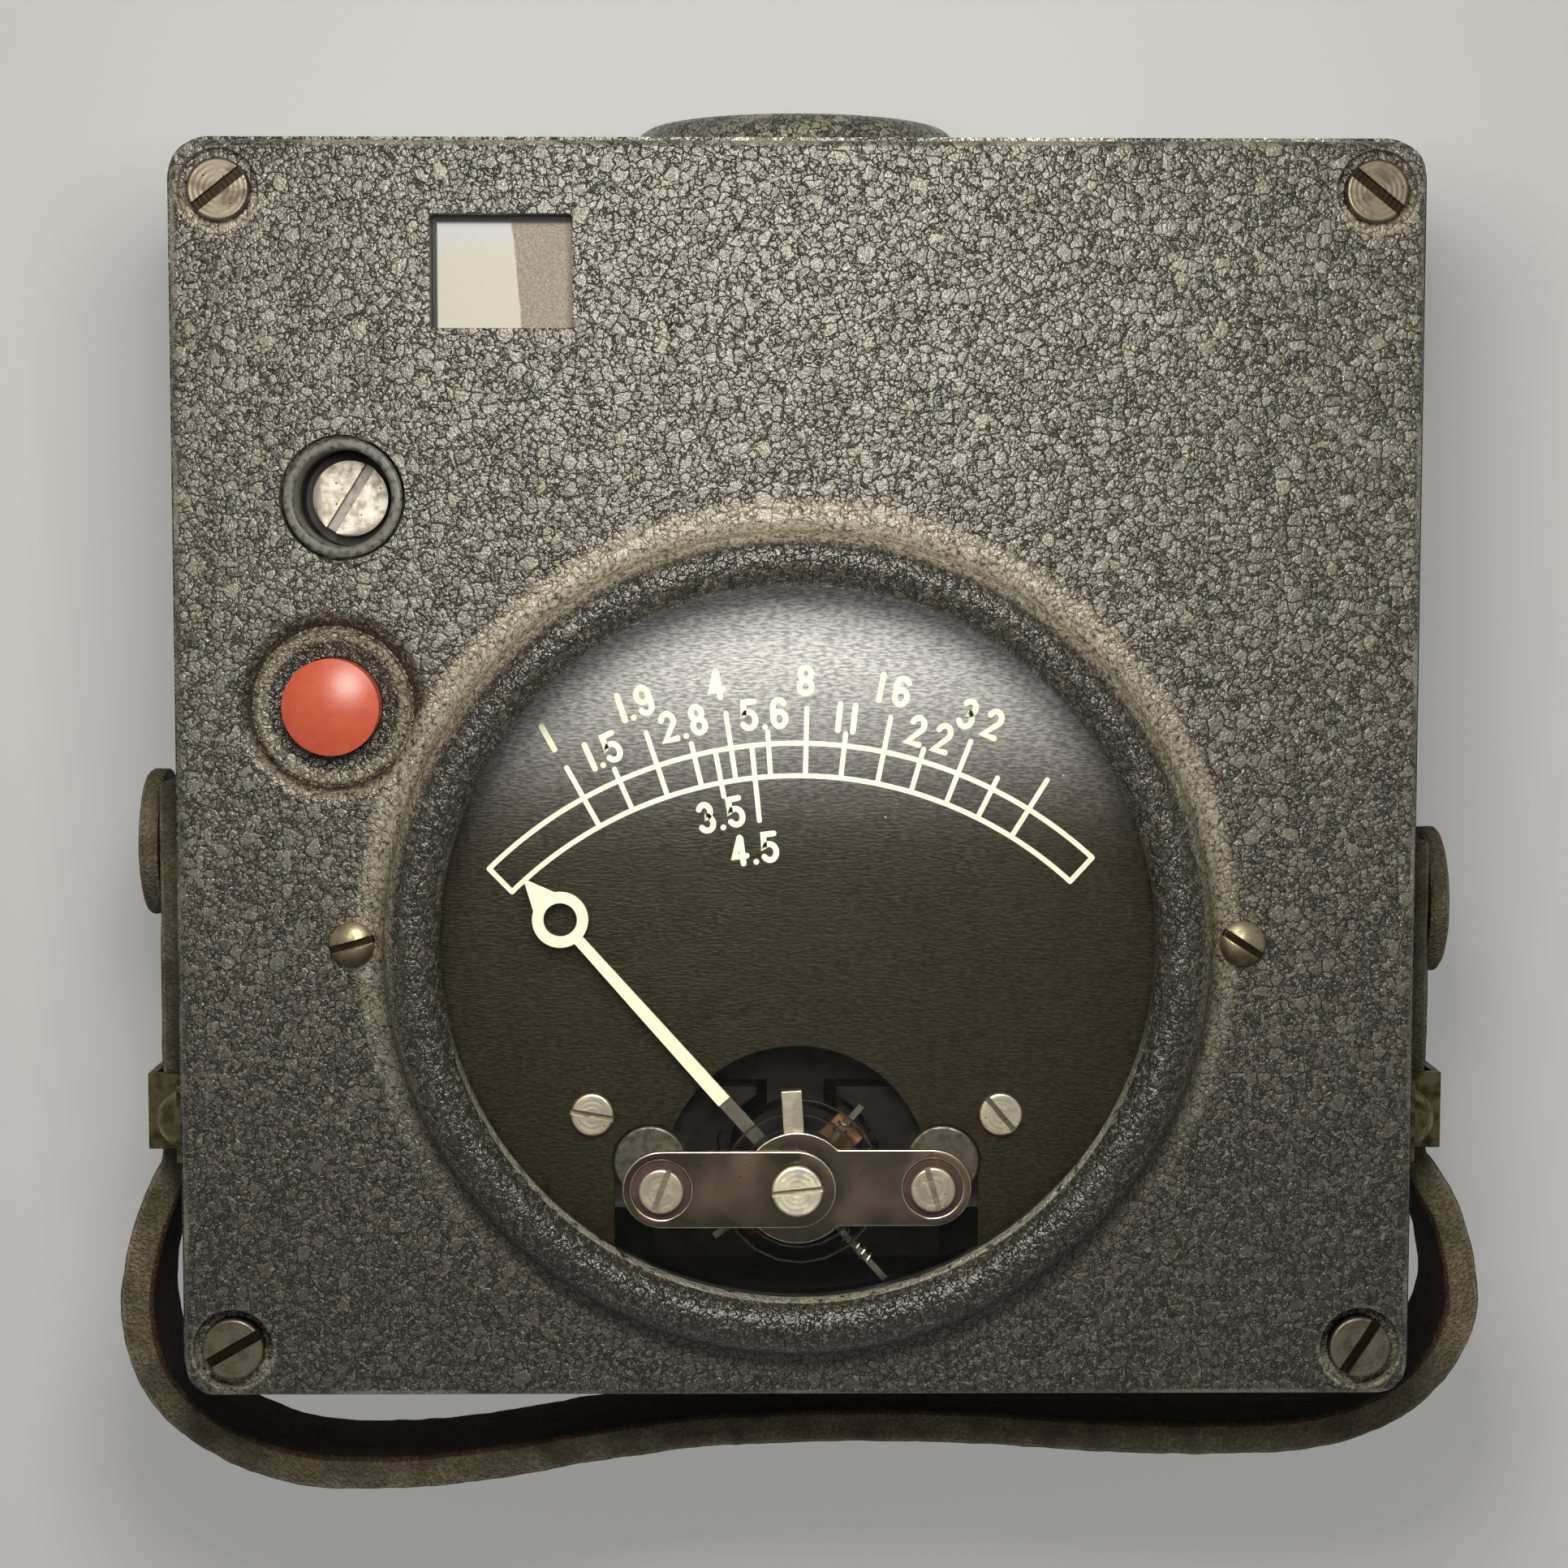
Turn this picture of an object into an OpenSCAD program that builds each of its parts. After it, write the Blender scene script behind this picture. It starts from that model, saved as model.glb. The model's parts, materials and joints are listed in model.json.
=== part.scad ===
// Waist-level photo-electric exposure meter, lying on its back with the dial facing up.
// Millimetres. The origin is the centre of the case's back, +Z is out of the dial,
// and +Y is the side with the light cell's hood.

/* [Panel] */
// Width of the front panel
panel_w = 104; // [101:0.5:110]
// Height of the front panel
panel_h = 105.5; // [103:0.5:112]
// Thickness of the front panel
panel_t = 2.6; // [2.2:0.1:3.2]
// Corner radius of the panel's outline
panel_corner_r = 3; // [1.5:0.1:3.5]
// Radius along the panel's front edges
panel_edge_r = 0.7; // [0.3:0.1:1]
// Distance of the corner screws from the panel's edges
screw_inset = 4.1; // [3.9:0.1:5]
// Radius of the dimple round a corner screw
dimple_r = 3.4; // [3.1:0.1:3.8]
// Depth of the dimple round a corner screw
dimple_depth = 1.3; // [0.8:0.1:1.6]
// Head radius of the corner screws
panel_screw_head_r = 2.6; // [2.4:0.1:3]
// Head height of the corner screws
panel_screw_head_h = 1.5; // [1:0.1:1.8]
// Shank radius of the corner screws
panel_screw_r = 1.5; // [1.2:0.1:1.8]
// Shank length of the corner screws
panel_screw_l = 10; // [6:1:14]

/* [Case] */
// Depth of the case behind the panel
case_depth = 37.4; // [36.4:0.2:44]
// Wall of the case
case_wall = 2; // [1.8:0.1:2.4]
// How far the case stands proud of the panel all round
case_proud = 0.5; // [0.2:0.1:1]
// Radius along the case's back edges
case_edge_r = 3; // [1:0.5:4]
// Radius of the posts that take the corner screws
post_r = 4; // [3:0.1:4.2]

/* [Hood on the top side] */
// Radius of the hood's opening
hood_open_r = 10.2; // [9:0.1:11]
// Width of the hood's half-round rim
hood_rim_w = 4.2; // [3.4:0.1:5]
// Height of the hood's rim
hood_rim_h = 2.8; // [2.4:0.1:4]
// Fillet at the foot of the hood
hood_fillet = 1.2; // [0.5:0.1:1.5]
// Height of the hood's axis above the back
hood_z = 18.5; // [17.6:0.1:20]
// Place of the low boss along the top side
boss_x = 33; // [28:0.5:36]
// Radius of the low boss
boss_r = 6.6; // [5:0.1:8]
// Height of the low boss
boss_h = 2.1; // [1:0.1:3]

/* [Bezel and glass] */
// Place of the meter window's centre above the panel's centre
dial_y = -14; // [-15:0.1:-13]
// Radius of the meter window
dial_open_r = 30; // [29:0.1:31]
// Width of the bezel's half-round rim
bezel_w = 4.6; // [4:0.1:5]
// Height of the bezel above the panel
bezel_h = 4; // [3.4:0.1:5]
// Fillet at the foot of the bezel
bezel_fillet = 1.6; // [0.8:0.1:1.8]
// How far the glass reaches under the bezel
glass_lip = 2.4; // [1.5:0.1:2.6]
// Thickness of the glass
glass_t = 1.8; // [1.2:0.1:2]
// Height of the glass's face above the panel
glass_up = 1; // [0.5:0.1:1.2]
// Distance of the meter screws from the bezel's foot
meter_screw_gap = 1.2; // [0.8:0.1:2]
// Head radius of the meter screws
meter_screw_head_r = 1.9; // [1.6:0.1:2.2]
// Head height of the meter screws
meter_screw_head_h = 1.3; // [0.9:0.1:1.6]

/* [Meter cup] */
// Wall of the cup
cup_wall = 1.4; // [1:0.1:1.6]
// Depth of the cup below the panel
cup_depth = 29; // [26:0.1:31]
// Thickness of the cup's ears
ear_t = 3; // [2:0.1:4]
// Radius of the cup's ears
ear_r = 3.2; // [2.6:0.1:3.6]
// Thickness of the spacer ring's flange
spacer_t = 1.2; // [0.8:0.1:1.5]

/* [Dial] */
// Depth of the dial's face below the panel's front
dial_depth = 7.4; // [7:0.1:8]
// Thickness of the dial
dial_t = 0.8; // [0.5:0.1:1]
// Distance of the pivot below the window's centre
pivot_drop = 21.4; // [20.8:0.1:21.6]
// Radius of the dial's arched cut-out
arch_r = 11.5; // [10.5:0.1:12]
// Width of the dial's notch
notch_w = 31.6; // [30:0.1:33]
// Height of the notch's top above the pivot
notch_rise = 2.8; // [1.5:0.1:3.2]
// Distance between the two dial screws
dial_screw_span = 35.4; // [34:0.2:37]
// Height of the dial screws above the pivot
dial_screw_rise = 5.6; // [5:0.1:8]
// Head radius of the dial screws
dial_screw_head_r = 1.9; // [1.6:0.1:2.3]

/* [Magnet and poles] */
// Outer radius of the magnet's arch
magnet_r = 20.5; // [19.6:0.1:21]
// Height of the arch's centre above the window's centre
magnet_rise = 2; // [0:0.5:6]
// Thickness of the magnet
magnet_t = 8; // [6:0.5:9]
// Half width across the two pole pieces
pole_x = 12.5; // [12:0.1:13]
// Length of a pole piece along the magnet
pole_h = 15; // [14:0.1:15.4]
// Thickness of the pole pieces
pole_t = 12; // [11:0.1:12.4]
// Gap between the two pole pieces
pole_gap = 7; // [6:0.1:8]
// Radius of the bore that the coil turns in
bore_r = 7.6; // [7.5:0.05:8]
// Radius of the core
core_r = 5.8; // [5.4:0.1:6]
// Width of the core bracket's arm
core_arm_w = 5; // [4:0.1:5.4]
// Thickness of the core bracket
core_arm_t = 4; // [3:0.1:6]

/* [Moving coil and pointer] */
// Outer radius of the coil
coil_r = 6.9; // [6.8:0.05:7]
// Thickness of the winding
coil_t = 0.65; // [0.5:0.05:0.7]
// Width of the winding
coil_w = 3; // [2:0.1:3.4]
// Radius of the staffs
staff_r = 0.5; // [0.4:0.02:0.52]
// Angle of the pointer at rest, from +X
pointer_rest = 131.7; // [125:0.1:134]
// Length of the pointer from its pivot to its tip
pointer_l = 35.2; // [33:0.1:36]
// Distance of the pointer's ring from the pivot
pointer_ring_at = 30.5; // [28:0.1:31]
// Outer radius of the pointer's ring
pointer_ring_r = 2.4; // [1.8:0.1:2.6]
// Width of the pointer's ring band
pointer_ring_w = 0.95; // [0.5:0.05:1.2]
// Width of the pointer's bar at its root
pointer_w = 1.25; // [0.8:0.05:1.6]
// Thickness of the pointer and of the balance cross
pointer_t = 0.4; // [0.3:0.05:0.45]
// Where the painted pointer starts, from the pivot
pointer_root = 9.4; // [9:0.1:10]
// Length of the balance cross's tail
tail_l = 11.5; // [10.5:0.1:11.5]
// Length of the balance cross's side arms
side_arm_l = 8.6; // [7.4:0.1:8.7]
// Angle between the pointer and the side arms
side_arm_angle = 82; // [78:1:86]
// Width of the tail and of the side arms
arm_w = 0.55; // [0.4:0.05:0.6]
// Radius of the wire in the balance coils
balance_wire_r = 0.13; // [0.1:0.01:0.14]
// Radius of the balance coils at the wire's middle
balance_coil_r = 0.5; // [0.48:0.01:0.54]
// Pitch of the balance coils
balance_pitch = 0.7; // [0.68:0.01:0.8]

/* [Bridges and jewels] */
// Distance between the two bridge posts
bridge_span = 23.2; // [23:0.1:24]
// Width of the bridge's arms
bridge_w = 6.6; // [6.2:0.1:7]
// Thickness of each bridge layer
bridge_t = 0.7; // [0.5:0.05:0.8]
// Depth of the bridge strap's face below the panel's front
bridge_depth = 2; // [1.8:0.05:2.1]
// Radius of the upper bridge's centre disc
bridge_disc_r = 4.8; // [4:0.1:5.4]
// Radius of the bridge posts
bridge_post_r = 2.4; // [2.2:0.1:2.8]
// Radius of the bridge posts' feet, which show through the dial
post_foot_r = 3.2; // [2.9:0.1:3.3]
// Radius of the fibre bushes
fibre_r = 2.5; // [2.4:0.05:2.8]
// Head radius of the bridge screws
bridge_screw_head_r = 1.95; // [1.8:0.05:2.3]
// Shank radius of the movement's small screws
small_screw_r = 1; // [0.8:0.05:1.2]
// Head height of the movement's small screws
small_head_h = 0.8; // [0.6:0.05:0.85]
// Head radius of the jewel screws
jewel_head_r = 2.2; // [1.8:0.05:2.4]
// Shank radius of the jewel screws
jewel_r = 1.5; // [1.2:0.05:1.7]
// Length of the zero lever from the pivot
lever_l = 8.3; // [8:0.1:8.6]
// Width of the zero lever's arm
lever_w = 1.75; // [1.2:0.05:2]
// Angle of the zero lever, from +X
lever_angle = 93.5; // [86:0.5:98]
// Turns of a hairspring
hair_turns = 5; // [3:1:6]

/* [Button and switch] */
// Place of the button across the panel
button_x = -39; // [-39.4:0.1:-38.8]
// Place of the button along the panel
button_y = 5.9; // [5.8:0.1:6.6]
// Radius of the button
button_r = 4.05; // [3.6:0.05:4.2]
// Height of the button's crown above the panel
button_up = 1.6; // [1:0.1:2.4]
// How far the button travels
button_travel = 2.2; // [1.5:0.1:2.4]
// Radius of the dish round the button
dish_r = 8.3; // [7.8:0.1:8.4]
// Depth of the dish
dish_depth = 1.8; // [1.2:0.1:2]
// Wall of the boss behind the dish
button_boss_wall = 1.6; // [1.5:0.05:1.7]
// Depth of the boss's end below the panel's front
button_boss_depth = 5.5; // [5:0.1:6]
// Distance of the switch pillars from the button's axis
switch_pillar_at = 7.4; // [7.2:0.05:7.6]
// Radius of the switch pillars
switch_pillar_r = 1.4; // [1.3:0.05:1.5]
// Depth of the switch plate's top below the panel's front
switch_depth = 13; // [12:0.1:15]
// Thickness of the switch plate
switch_plate_t = 1.5; // [1:0.1:2.5]
// Turns of the button's spring
button_spring_turns = 5; // [4:1:6]
// Radius of the button spring's wire
button_wire_r = 0.25; // [0.2:0.01:0.3]

/* [Adjuster and rheostat] */
// Place of the adjuster across the panel
bush_x = -37.9; // [-39:0.1:-37]
// Place of the adjuster along the panel
bush_y = 23.3; // [23:0.1:25]
// Outer radius of the bush
bush_r = 5; // [4.6:0.1:5.4]
// Inner radius of the bush
bush_bore_r = 4.05; // [3.6:0.05:4.2]
// Length of the bush
bush_l = 9; // [8.5:0.1:11]
// Head radius of the adjuster shaft
adjuster_head_r = 3.2; // [2.8:0.1:3.4]
// Depth of the adjuster's head below the panel's front
adjuster_depth = 5.5; // [4:0.1:6]
// Radius of the adjuster shaft
shaft_r = 2; // [1.6:0.1:2.2]
// Outer radius of the rheostat's case
rheostat_r = 8.2; // [7.8:0.1:8.4]
// Depth of the rheostat's case
rheostat_h = 8; // [7.8:0.1:9]
// Angle that the winding covers
winding_angle = 310; // [300:1:320]

/* [Finder] */
// Width of the finder window
window_w = 11.8; // [10:0.1:12.4]
// Height of the finder window
window_h = 9.4; // [8:0.1:10]
// Place of the window across the panel
window_x = -24.6; // [-26:0.1:-24.4]
// Place of the window along the panel
window_y = 42; // [41:0.1:42.4]
// Thickness of the ground glass
ground_glass_t = 1.2; // [0.8:0.1:1.5]
// Thickness of the mirror
mirror_t = 1.2; // [0.8:0.1:1.5]
// Thickness of the finder bracket's sheet
bracket_t = 0.8; // [0.5:0.1:1]
// Radius of the finder lens's hole
lens_hole_r = 3.8; // [3:0.1:4]
// Radius of the finder lens
lens_r = 4.8; // [4.4:0.1:5]

/* [Light cell and dry cell] */
// Radius of the light cell and of its window
cell_r = 11.3; // [11.2:0.05:11.8]
// Thickness of the cell's window
cell_window_t = 1.5; // [1.2:0.1:2]
// Thickness of the light cell
cell_t = 1.5; // [1:0.1:2]
// Wall of the cell's cup
cell_cup_wall = 1.7; // [1.2:0.1:2]
// Radius of the dry cell
battery_r = 7; // [6.4:0.1:7.1]
// Length of the dry cell's can
battery_l = 46; // [40:0.5:47]
// Place of the dry cell's axis across the case
battery_x = 42.3; // [42.2:0.1:42.6]
// Thickness of the clip and of the contacts
clip_t = 0.6; // [0.4:0.1:0.8]

/* [Strap] */
// Thickness of the strap
strap_t = 3.1; // [2.4:0.1:3.4]
// Width of the strap
strap_w = 12.7; // [10:0.1:14]
// Height of the strap's middle above the back
strap_z = 22; // [20.5:0.1:22.5]
// Gap between the strap and what it slides on
strap_gap = 0.25; // [0.2:0.05:0.4]
// Radius of the round stops
stop_r = 6.6; // [6.4:0.1:8]
// Thickness of the round stops
stop_t = 1.7; // [1:0.1:2]
// Place of the left stop along the case
stop_left_y = -7.1; // [-9:0.1:-4]
// Place of the right stop along the case
stop_right_y = -12.3; // [-12.4:0.1:-9]
// Place of the keepers along the case
keeper_y = -30.2; // [-32:0.1:-30]
// Length of a keeper along the strap
keeper_l = 6.7; // [5:0.1:7]
// Thickness of the keepers' sheet
keeper_t = 0.7; // [0.5:0.05:0.9]
// Length of a keeper's ears
keeper_ear = 6.4; // [6:0.1:7]
// Head radius of the keepers' rivets
rivet_head_r = 2.5; // [2:0.1:2.6]
// Head height of the keepers' rivets
rivet_head_h = 2.2; // [1.4:0.1:2.6]
// Shank radius of the keepers' rivets
rivet_r = 1.2; // [1:0.05:1.4]

/* [Hidden] */
$fn = 64;
// Radial clearance of a screw, pin or plug in its hole
fit = 0.05;
// Radial clearance of a part that turns or slides
running = 0.1;
// Radial clearance of a part pressed on a staff
press = 0.02;
// Overrun that keeps a cut clear of the face it opens
over = 1;
// Flat ring round a turned rim, past its fillet
rim_margin = 0.4;
// Share of a screw head's height that is domed
head_dome = 0.6;
// Rounding of a flat screw head's edge
head_edge_r = 0.25;
// How far two shapes of one piece run into each other
lap = 0.2;
// Metal left at the end of a blind hole
blind_skin = 0.6;
// Depth of a tapped hole
tapped_l = 3;
// Widths of the screw slots
panel_slot_w = 0.9;
meter_slot_w = 0.7;
small_slot_w = 0.5;
// Rings to a turn, and sides, of a wound wire
wire_rings = 8;
wire_sides = 6;

z_rim = case_depth;
z_top = case_depth + panel_t;
case_w = panel_w + 2 * case_proud;
case_h = panel_h + 2 * case_proud;
inner_y = case_h / 2 - case_wall;
side_x = case_w / 2;
screw_x = panel_w / 2 - screw_inset;
screw_y = panel_h / 2 - screw_inset;

bezel_foot_r = dial_open_r + bezel_w + bezel_fillet;
bezel_zone_r = bezel_foot_r + rim_margin;
hood_zone_r = hood_open_r + hood_rim_w + hood_fillet + rim_margin;
boss_crown = 1.5;
meter_screw_x = bezel_foot_r + meter_screw_gap;
glass_r = dial_open_r + glass_lip;
glass_under = glass_up - glass_t;
glass_gap = 0.2;
cup_margin = 0.8;
cup_in_r = glass_r + cup_margin;
cup_r = cup_in_r + cup_wall;
spacer_margin = 0.8;
spacer_in_r = dial_open_r + spacer_margin;
rebate_w = 0.7;
ear_lap = 2;
rebate_r = cup_in_r + rebate_w;
cup_floor_depth = panel_t + cup_depth - cup_wall;

pivot_y = dial_y - pivot_drop;
dial_gap = 0.4;
dial_r = cup_in_r - dial_gap;
dial_back = dial_depth + dial_t;
pole_below_dial = 1.8;
pole_top = dial_back + pole_below_dial;
pole_bottom = pole_top + pole_t;
magnet_top = pole_top + (pole_t - magnet_t) / 2;
magnet_foot = 3.6;
magnet_foot_y = pivot_y - magnet_foot;
core_inset = 0.5;
core_top = pole_top + core_inset;
core_l = pole_t - 2 * core_inset;
coil_past_core = 1.9;
coil_top = core_top - coil_past_core;
coil_bottom = core_top + core_l + coil_past_core;
coil_end_t = 1;

layer_2 = bridge_depth + bridge_t;
layer_3 = layer_2 + bridge_t;
lever_t = 0.5;
jewel_end = layer_3 + lever_t;
jewel_cup_h = 0.8;
staff_collar = 0.2;
staff_tip_r = 0.04;
hair_t = 0.16;
hair_h = 0.5;
hair_in_r = staff_r + staff_collar + hair_t;
hair_below_jewel = 0.4;
hair_top = jewel_end + hair_below_jewel;
cross_below_hair = 0.9;
cross_top = hair_top + hair_h + cross_below_hair;
lever_lip_w = 0.5;
lever_lip_past = 0.2;
lever_end_depth = hair_top + hair_h + lever_lip_past;
lower_post_l = 3.2;
lower_bridge_top = pole_bottom + lower_post_l;
lower_bridge_under = lower_bridge_top + bridge_t;
lower_bridge_margin = 0.5;
lower_jewel_reach = 0.7;
lower_jewel_end = lower_bridge_top - lower_jewel_reach;
lower_post_x = (bore_r + pole_x) / 2;
lower_post_margin = 0.4;
lower_post_r = (pole_x - bore_r) / 2 - lower_post_margin;
frame_screw_edge = 2.5;
frame_screw_rise = pole_h / 2 - frame_screw_edge;
frame_screw_x = pole_x - frame_screw_edge;
frame_boss_r = 2.2;
terminal_x = 8;
terminal_l = 2.5;
terminal_nut_r = 2.2;
terminal_nut_t = 1.4;
terminal_head_r = 1.8;
core_bar = 3.5;
bridge_grip = 4;
post_foot_out = 1.1;
post_foot_up = 1.35;
post_foot_proud = 0.3;
terminal_rise = 16;
terminal_y = dial_y + terminal_rise;

button_bore_r = button_r + running;
dish_roll_r = 1.5;
dish_wall_r = dish_r - dish_roll_r;
dish_wall_depth = 1.5;
dish_heel = 0.4;
button_boss_r = dish_wall_r + button_boss_wall;
button_crown = 0.9;
button_edge_r = 0.8;
flange_w = 1.2;
flange_r = button_r + flange_w;
flange_t = 0.8;
stem_r = 1.5;
stem_tip_r = 0.9;
stem_tip_past = 0.4;
spring_out = 1.5;
switch_screw_r = 0.8;
disc_r = 3;
disc_t = 0.5;
disc_below_plate = 0.5;
disc_top = switch_depth + switch_plate_t + disc_below_plate;
contact_top = disc_top + disc_t + button_travel + running;
contact_t = 0.5;

bush_gap = 0.25;
bush_floor_t = 1;
bush_edge_r = 0.35;
rheostat_wall = 0.9;
adjuster_slot_w = 0.9;
adjuster_slot_depth = 1.1;
adjuster_slot_angle = 58;
wiper_below_bush = 2;
wiper_depth = bush_l + wiper_below_bush;
wiper_hub_h = 1.8;
wiper_reach = 2.2;
winding_top = wiper_depth + wiper_reach;
winding_t = 2.6;
winding_w = 2.2;
shaft_past_wiper = 1.4;

window_corner_r = 0.35;
glass_margin = 0.9;
mirror_margin = 0.7;
mirror_half = window_h / 2 + mirror_margin;
mirror_below_glass = 1.2;
mirror_drop = ground_glass_t + panel_t + mirror_below_glass + mirror_half;
mirror_side_margin = 0.5;
mirror_w = window_w + 2 * mirror_side_margin;
mirror_back = mirror_t * sqrt(2);
bracket_back = (mirror_t + bracket_t) * sqrt(2);
lens_seat = 1.2;
lens_crown = 0.6;
flange_half = mirror_w / 2 + bracket_t;

cell_seat = 1;
cell_face_y = case_h / 2 - case_wall + cell_seat;
cell_back_y = cell_face_y - cell_window_t - cell_t;
cell_spring_t = 1;
cell_cup_floor = 2;
cell_gap = 0.15;
cell_cup_r = cell_r + cell_gap + cell_cup_wall;
cell_ear_out = 1.8;
cell_ear_x = cell_cup_r + cell_ear_out;
cell_ear_r = 2.4;
cell_ear_t = 2;
cell_ear_lap = 1.5;

battery_above_foot = 0.35;
battery_z = case_wall + clip_t + battery_r + battery_above_foot;
cap_l = 1.6;
cap_r = 2.4;
battery_end_gap = 2.45;
battery_y = screw_y - post_r - battery_end_gap - clip_t - cap_l - battery_l;

strap_x = side_x + strap_gap + strap_t / 2;
stop_x = strap_x + strap_t / 2;
keeper_half = strap_w / 2 + strap_gap;
keeper_roof = strap_t + 2 * strap_gap;
rivet_z = keeper_half + keeper_t + keeper_ear / 2;
rivet_tail_h = 0.6;
rivet_tail_w = 0.8;
strap_past_stop = -1;

// The strap's route: how far it bows out from each side, and how far below the case it hangs.
// Left and right bows are [outwards from the strap's line on the side, below the case's bottom].
left_bow = [[0, -19.5], [1.4, -15.8], [3.1, -11.2], [4, -5.7], [3.2, -0.4], [0.7, 3.8]];
right_bow = [[0, -19.8], [1.3, -17], [3.3, -13.6], [4.7, -8.8], [4.8, -4.2], [2.7, 0.3]];
// The run under the case is [share of the strap's half width, below the case's bottom].
under_run = [[-0.93, 7.1], [-0.81, 9.4], [-0.66, 9.8], [-0.5, 9], [-0.33, 7.4], [-0.15, 6.1], [0.07, 5.6],
    [0.29, 5.8], [0.5, 6.6], [0.7, 6.8], [0.86, 6.2], [0.975, 4]];
strap_bottom = -case_h / 2;
strap_route = concat(
    [[-strap_x, stop_left_y + stop_r + strap_past_stop], [-strap_x, keeper_y + keeper_l]],
    [for (p = left_bow) [-strap_x - p[0], strap_bottom - p[1]]],
    [for (p = under_run) [p[0] * strap_x, strap_bottom - p[1]]],
    [for (i = [len(right_bow) - 1:-1:0]) [strap_x + right_bow[i][0], strap_bottom - right_bow[i][1]]],
    [[strap_x, keeper_y + keeper_l], [strap_x, stop_right_y + stop_r + strap_past_stop]]);

// Height of a level that is given as a depth below the panel's front
function front(depth) = z_top - depth;

// A point on a smooth curve through b and c, with a and d beside them
function curve(a, b, c, d, t) =
    0.5 * (2 * b + (c - a) * t + (2 * a - 5 * b + 4 * c - d) * t * t + (3 * b - a - 3 * c + d) * t * t * t);
function pick(list, i) = list[max(0, min(len(list) - 1, i))];
function smooth(list, steps) = concat(
    [for (i = [0:len(list) - 2], s = [0:steps - 1])
        curve(pick(list, i - 1), list[i], list[i + 1], pick(list, i + 2), s / steps)],
    [list[len(list) - 1]]);
function unit(v) = v / norm(v);
function left_of(list, i) =
    let (way = unit(pick(list, i + 1) - pick(list, i - 1))) [-way[1], way[0]];
function band(list, half) = concat(
    [for (i = [0:len(list) - 1]) list[i] + half * left_of(list, i)],
    [for (i = [len(list) - 1:-1:0]) list[i] - half * left_of(list, i)]);

module rounded_rect(w, h, r) {
    square([w - 2 * r, h], center = true);
    square([w, h - 2 * r], center = true);
    for (x = [-1, 1], y = [-1, 1])
        translate([x * (w / 2 - r), y * (h / 2 - r)]) circle(r);
}

// A flat section from y = 0 up to t, with its two upper corners rounded
module crowned_section(w, t, r) {
    translate([-w / 2, 0]) square([w, t - r]);
    translate([-w / 2 + r, 0]) square([w - 2 * r, t]);
    for (x = [-1, 1])
        translate([x * (w / 2 - r), t - r]) circle(r);
}

// A plate on z = 0 with rounded corners and rounded upper edges
module soft_plate(w, h, t, corner_r, edge_r) {
    intersection() {
        linear_extrude(t) rounded_rect(w, h, corner_r);
        rotate([90, 0, 0]) linear_extrude(h, center = true) crowned_section(w, t, edge_r);
        rotate([90, 0, 90]) linear_extrude(w, center = true) crowned_section(h, t, edge_r);
    }
}

// Half-round rim about an opening, with a fillet at its foot, on a wall of the given thickness
module rim_section(open_r, w, h, fillet, wall, zone_r) {
    translate([open_r, -wall]) square([zone_r - open_r, wall]);
    translate([open_r, -wall]) square([w, wall + h - w / 2]);
    translate([open_r + w / 2, h - w / 2]) circle(w / 2);
    difference() {
        translate([open_r + w / 2, 0]) square([w / 2 + fillet, fillet]);
        translate([open_r + w + fillet, fillet]) circle(fillet);
    }
}

// Flat disc with a rounded upper edge
module soft_disc(r, t, edge_r) {
    rotate_extrude() {
        square([r, t - edge_r]);
        square([r - edge_r, t]);
        translate([r - edge_r, t - edge_r]) circle(edge_r);
    }
}

module domed_disc(r, h, rise) {
    ball_r = (r * r + rise * rise) / (2 * rise);
    intersection() {
        cylinder(r = r, h = h);
        translate([0, 0, h - ball_r]) sphere(ball_r);
    }
}

// Slotted screw along +Z, with its head's underside at z = 0
module slotted_screw(head_r, head_h, shank_r, shank_l, slot_w, angle, domed = false) {
    difference() {
        union() {
            if (domed) domed_disc(head_r, head_h, head_h * head_dome);
            else soft_disc(head_r, head_h, head_edge_r);
            translate([0, 0, -shank_l]) cylinder(r = shank_r, h = shank_l + head_h / 4);
        }
        rotate(angle) translate([0, 0, head_h]) cube([3 * head_r, slot_w, head_h], center = true);
    }
}

// Two-ended flat arm from the origin to [length, 0]
module arm_outline(length, w) {
    translate([0, -w / 2]) square([length, w]);
    circle(w / 2);
    translate([length, 0]) circle(w / 2);
}

// Flat spiral strip that ends at the given angle
module spiral(in_r, out_r, turns, end_angle) {
    steps = turns * 20;
    line = [for (i = [0:steps])
        let (a = end_angle - 360 * turns * (1 - i / steps), r = in_r + (out_r - in_r) * i / steps)
            r * [cos(a), sin(a)]];
    polygon(band(line, hair_t / 2));
}

// Points along the middle of a wound wire
function wire_line(r, pitch, turns, rings) = [for (i = [0:turns * rings])
    let (a = 360 * i / rings) [r * cos(a), r * sin(a), pitch * i / rings]];
// Least gap between a wound wire's turns, measured from point to point
function least_gap(line, wire_r, rings) = min([
    for (i = [0:len(line) - rings], j = [i + rings - 1:len(line) - 1]) norm(line[i] - line[j])]) - 2 * wire_r;

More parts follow.
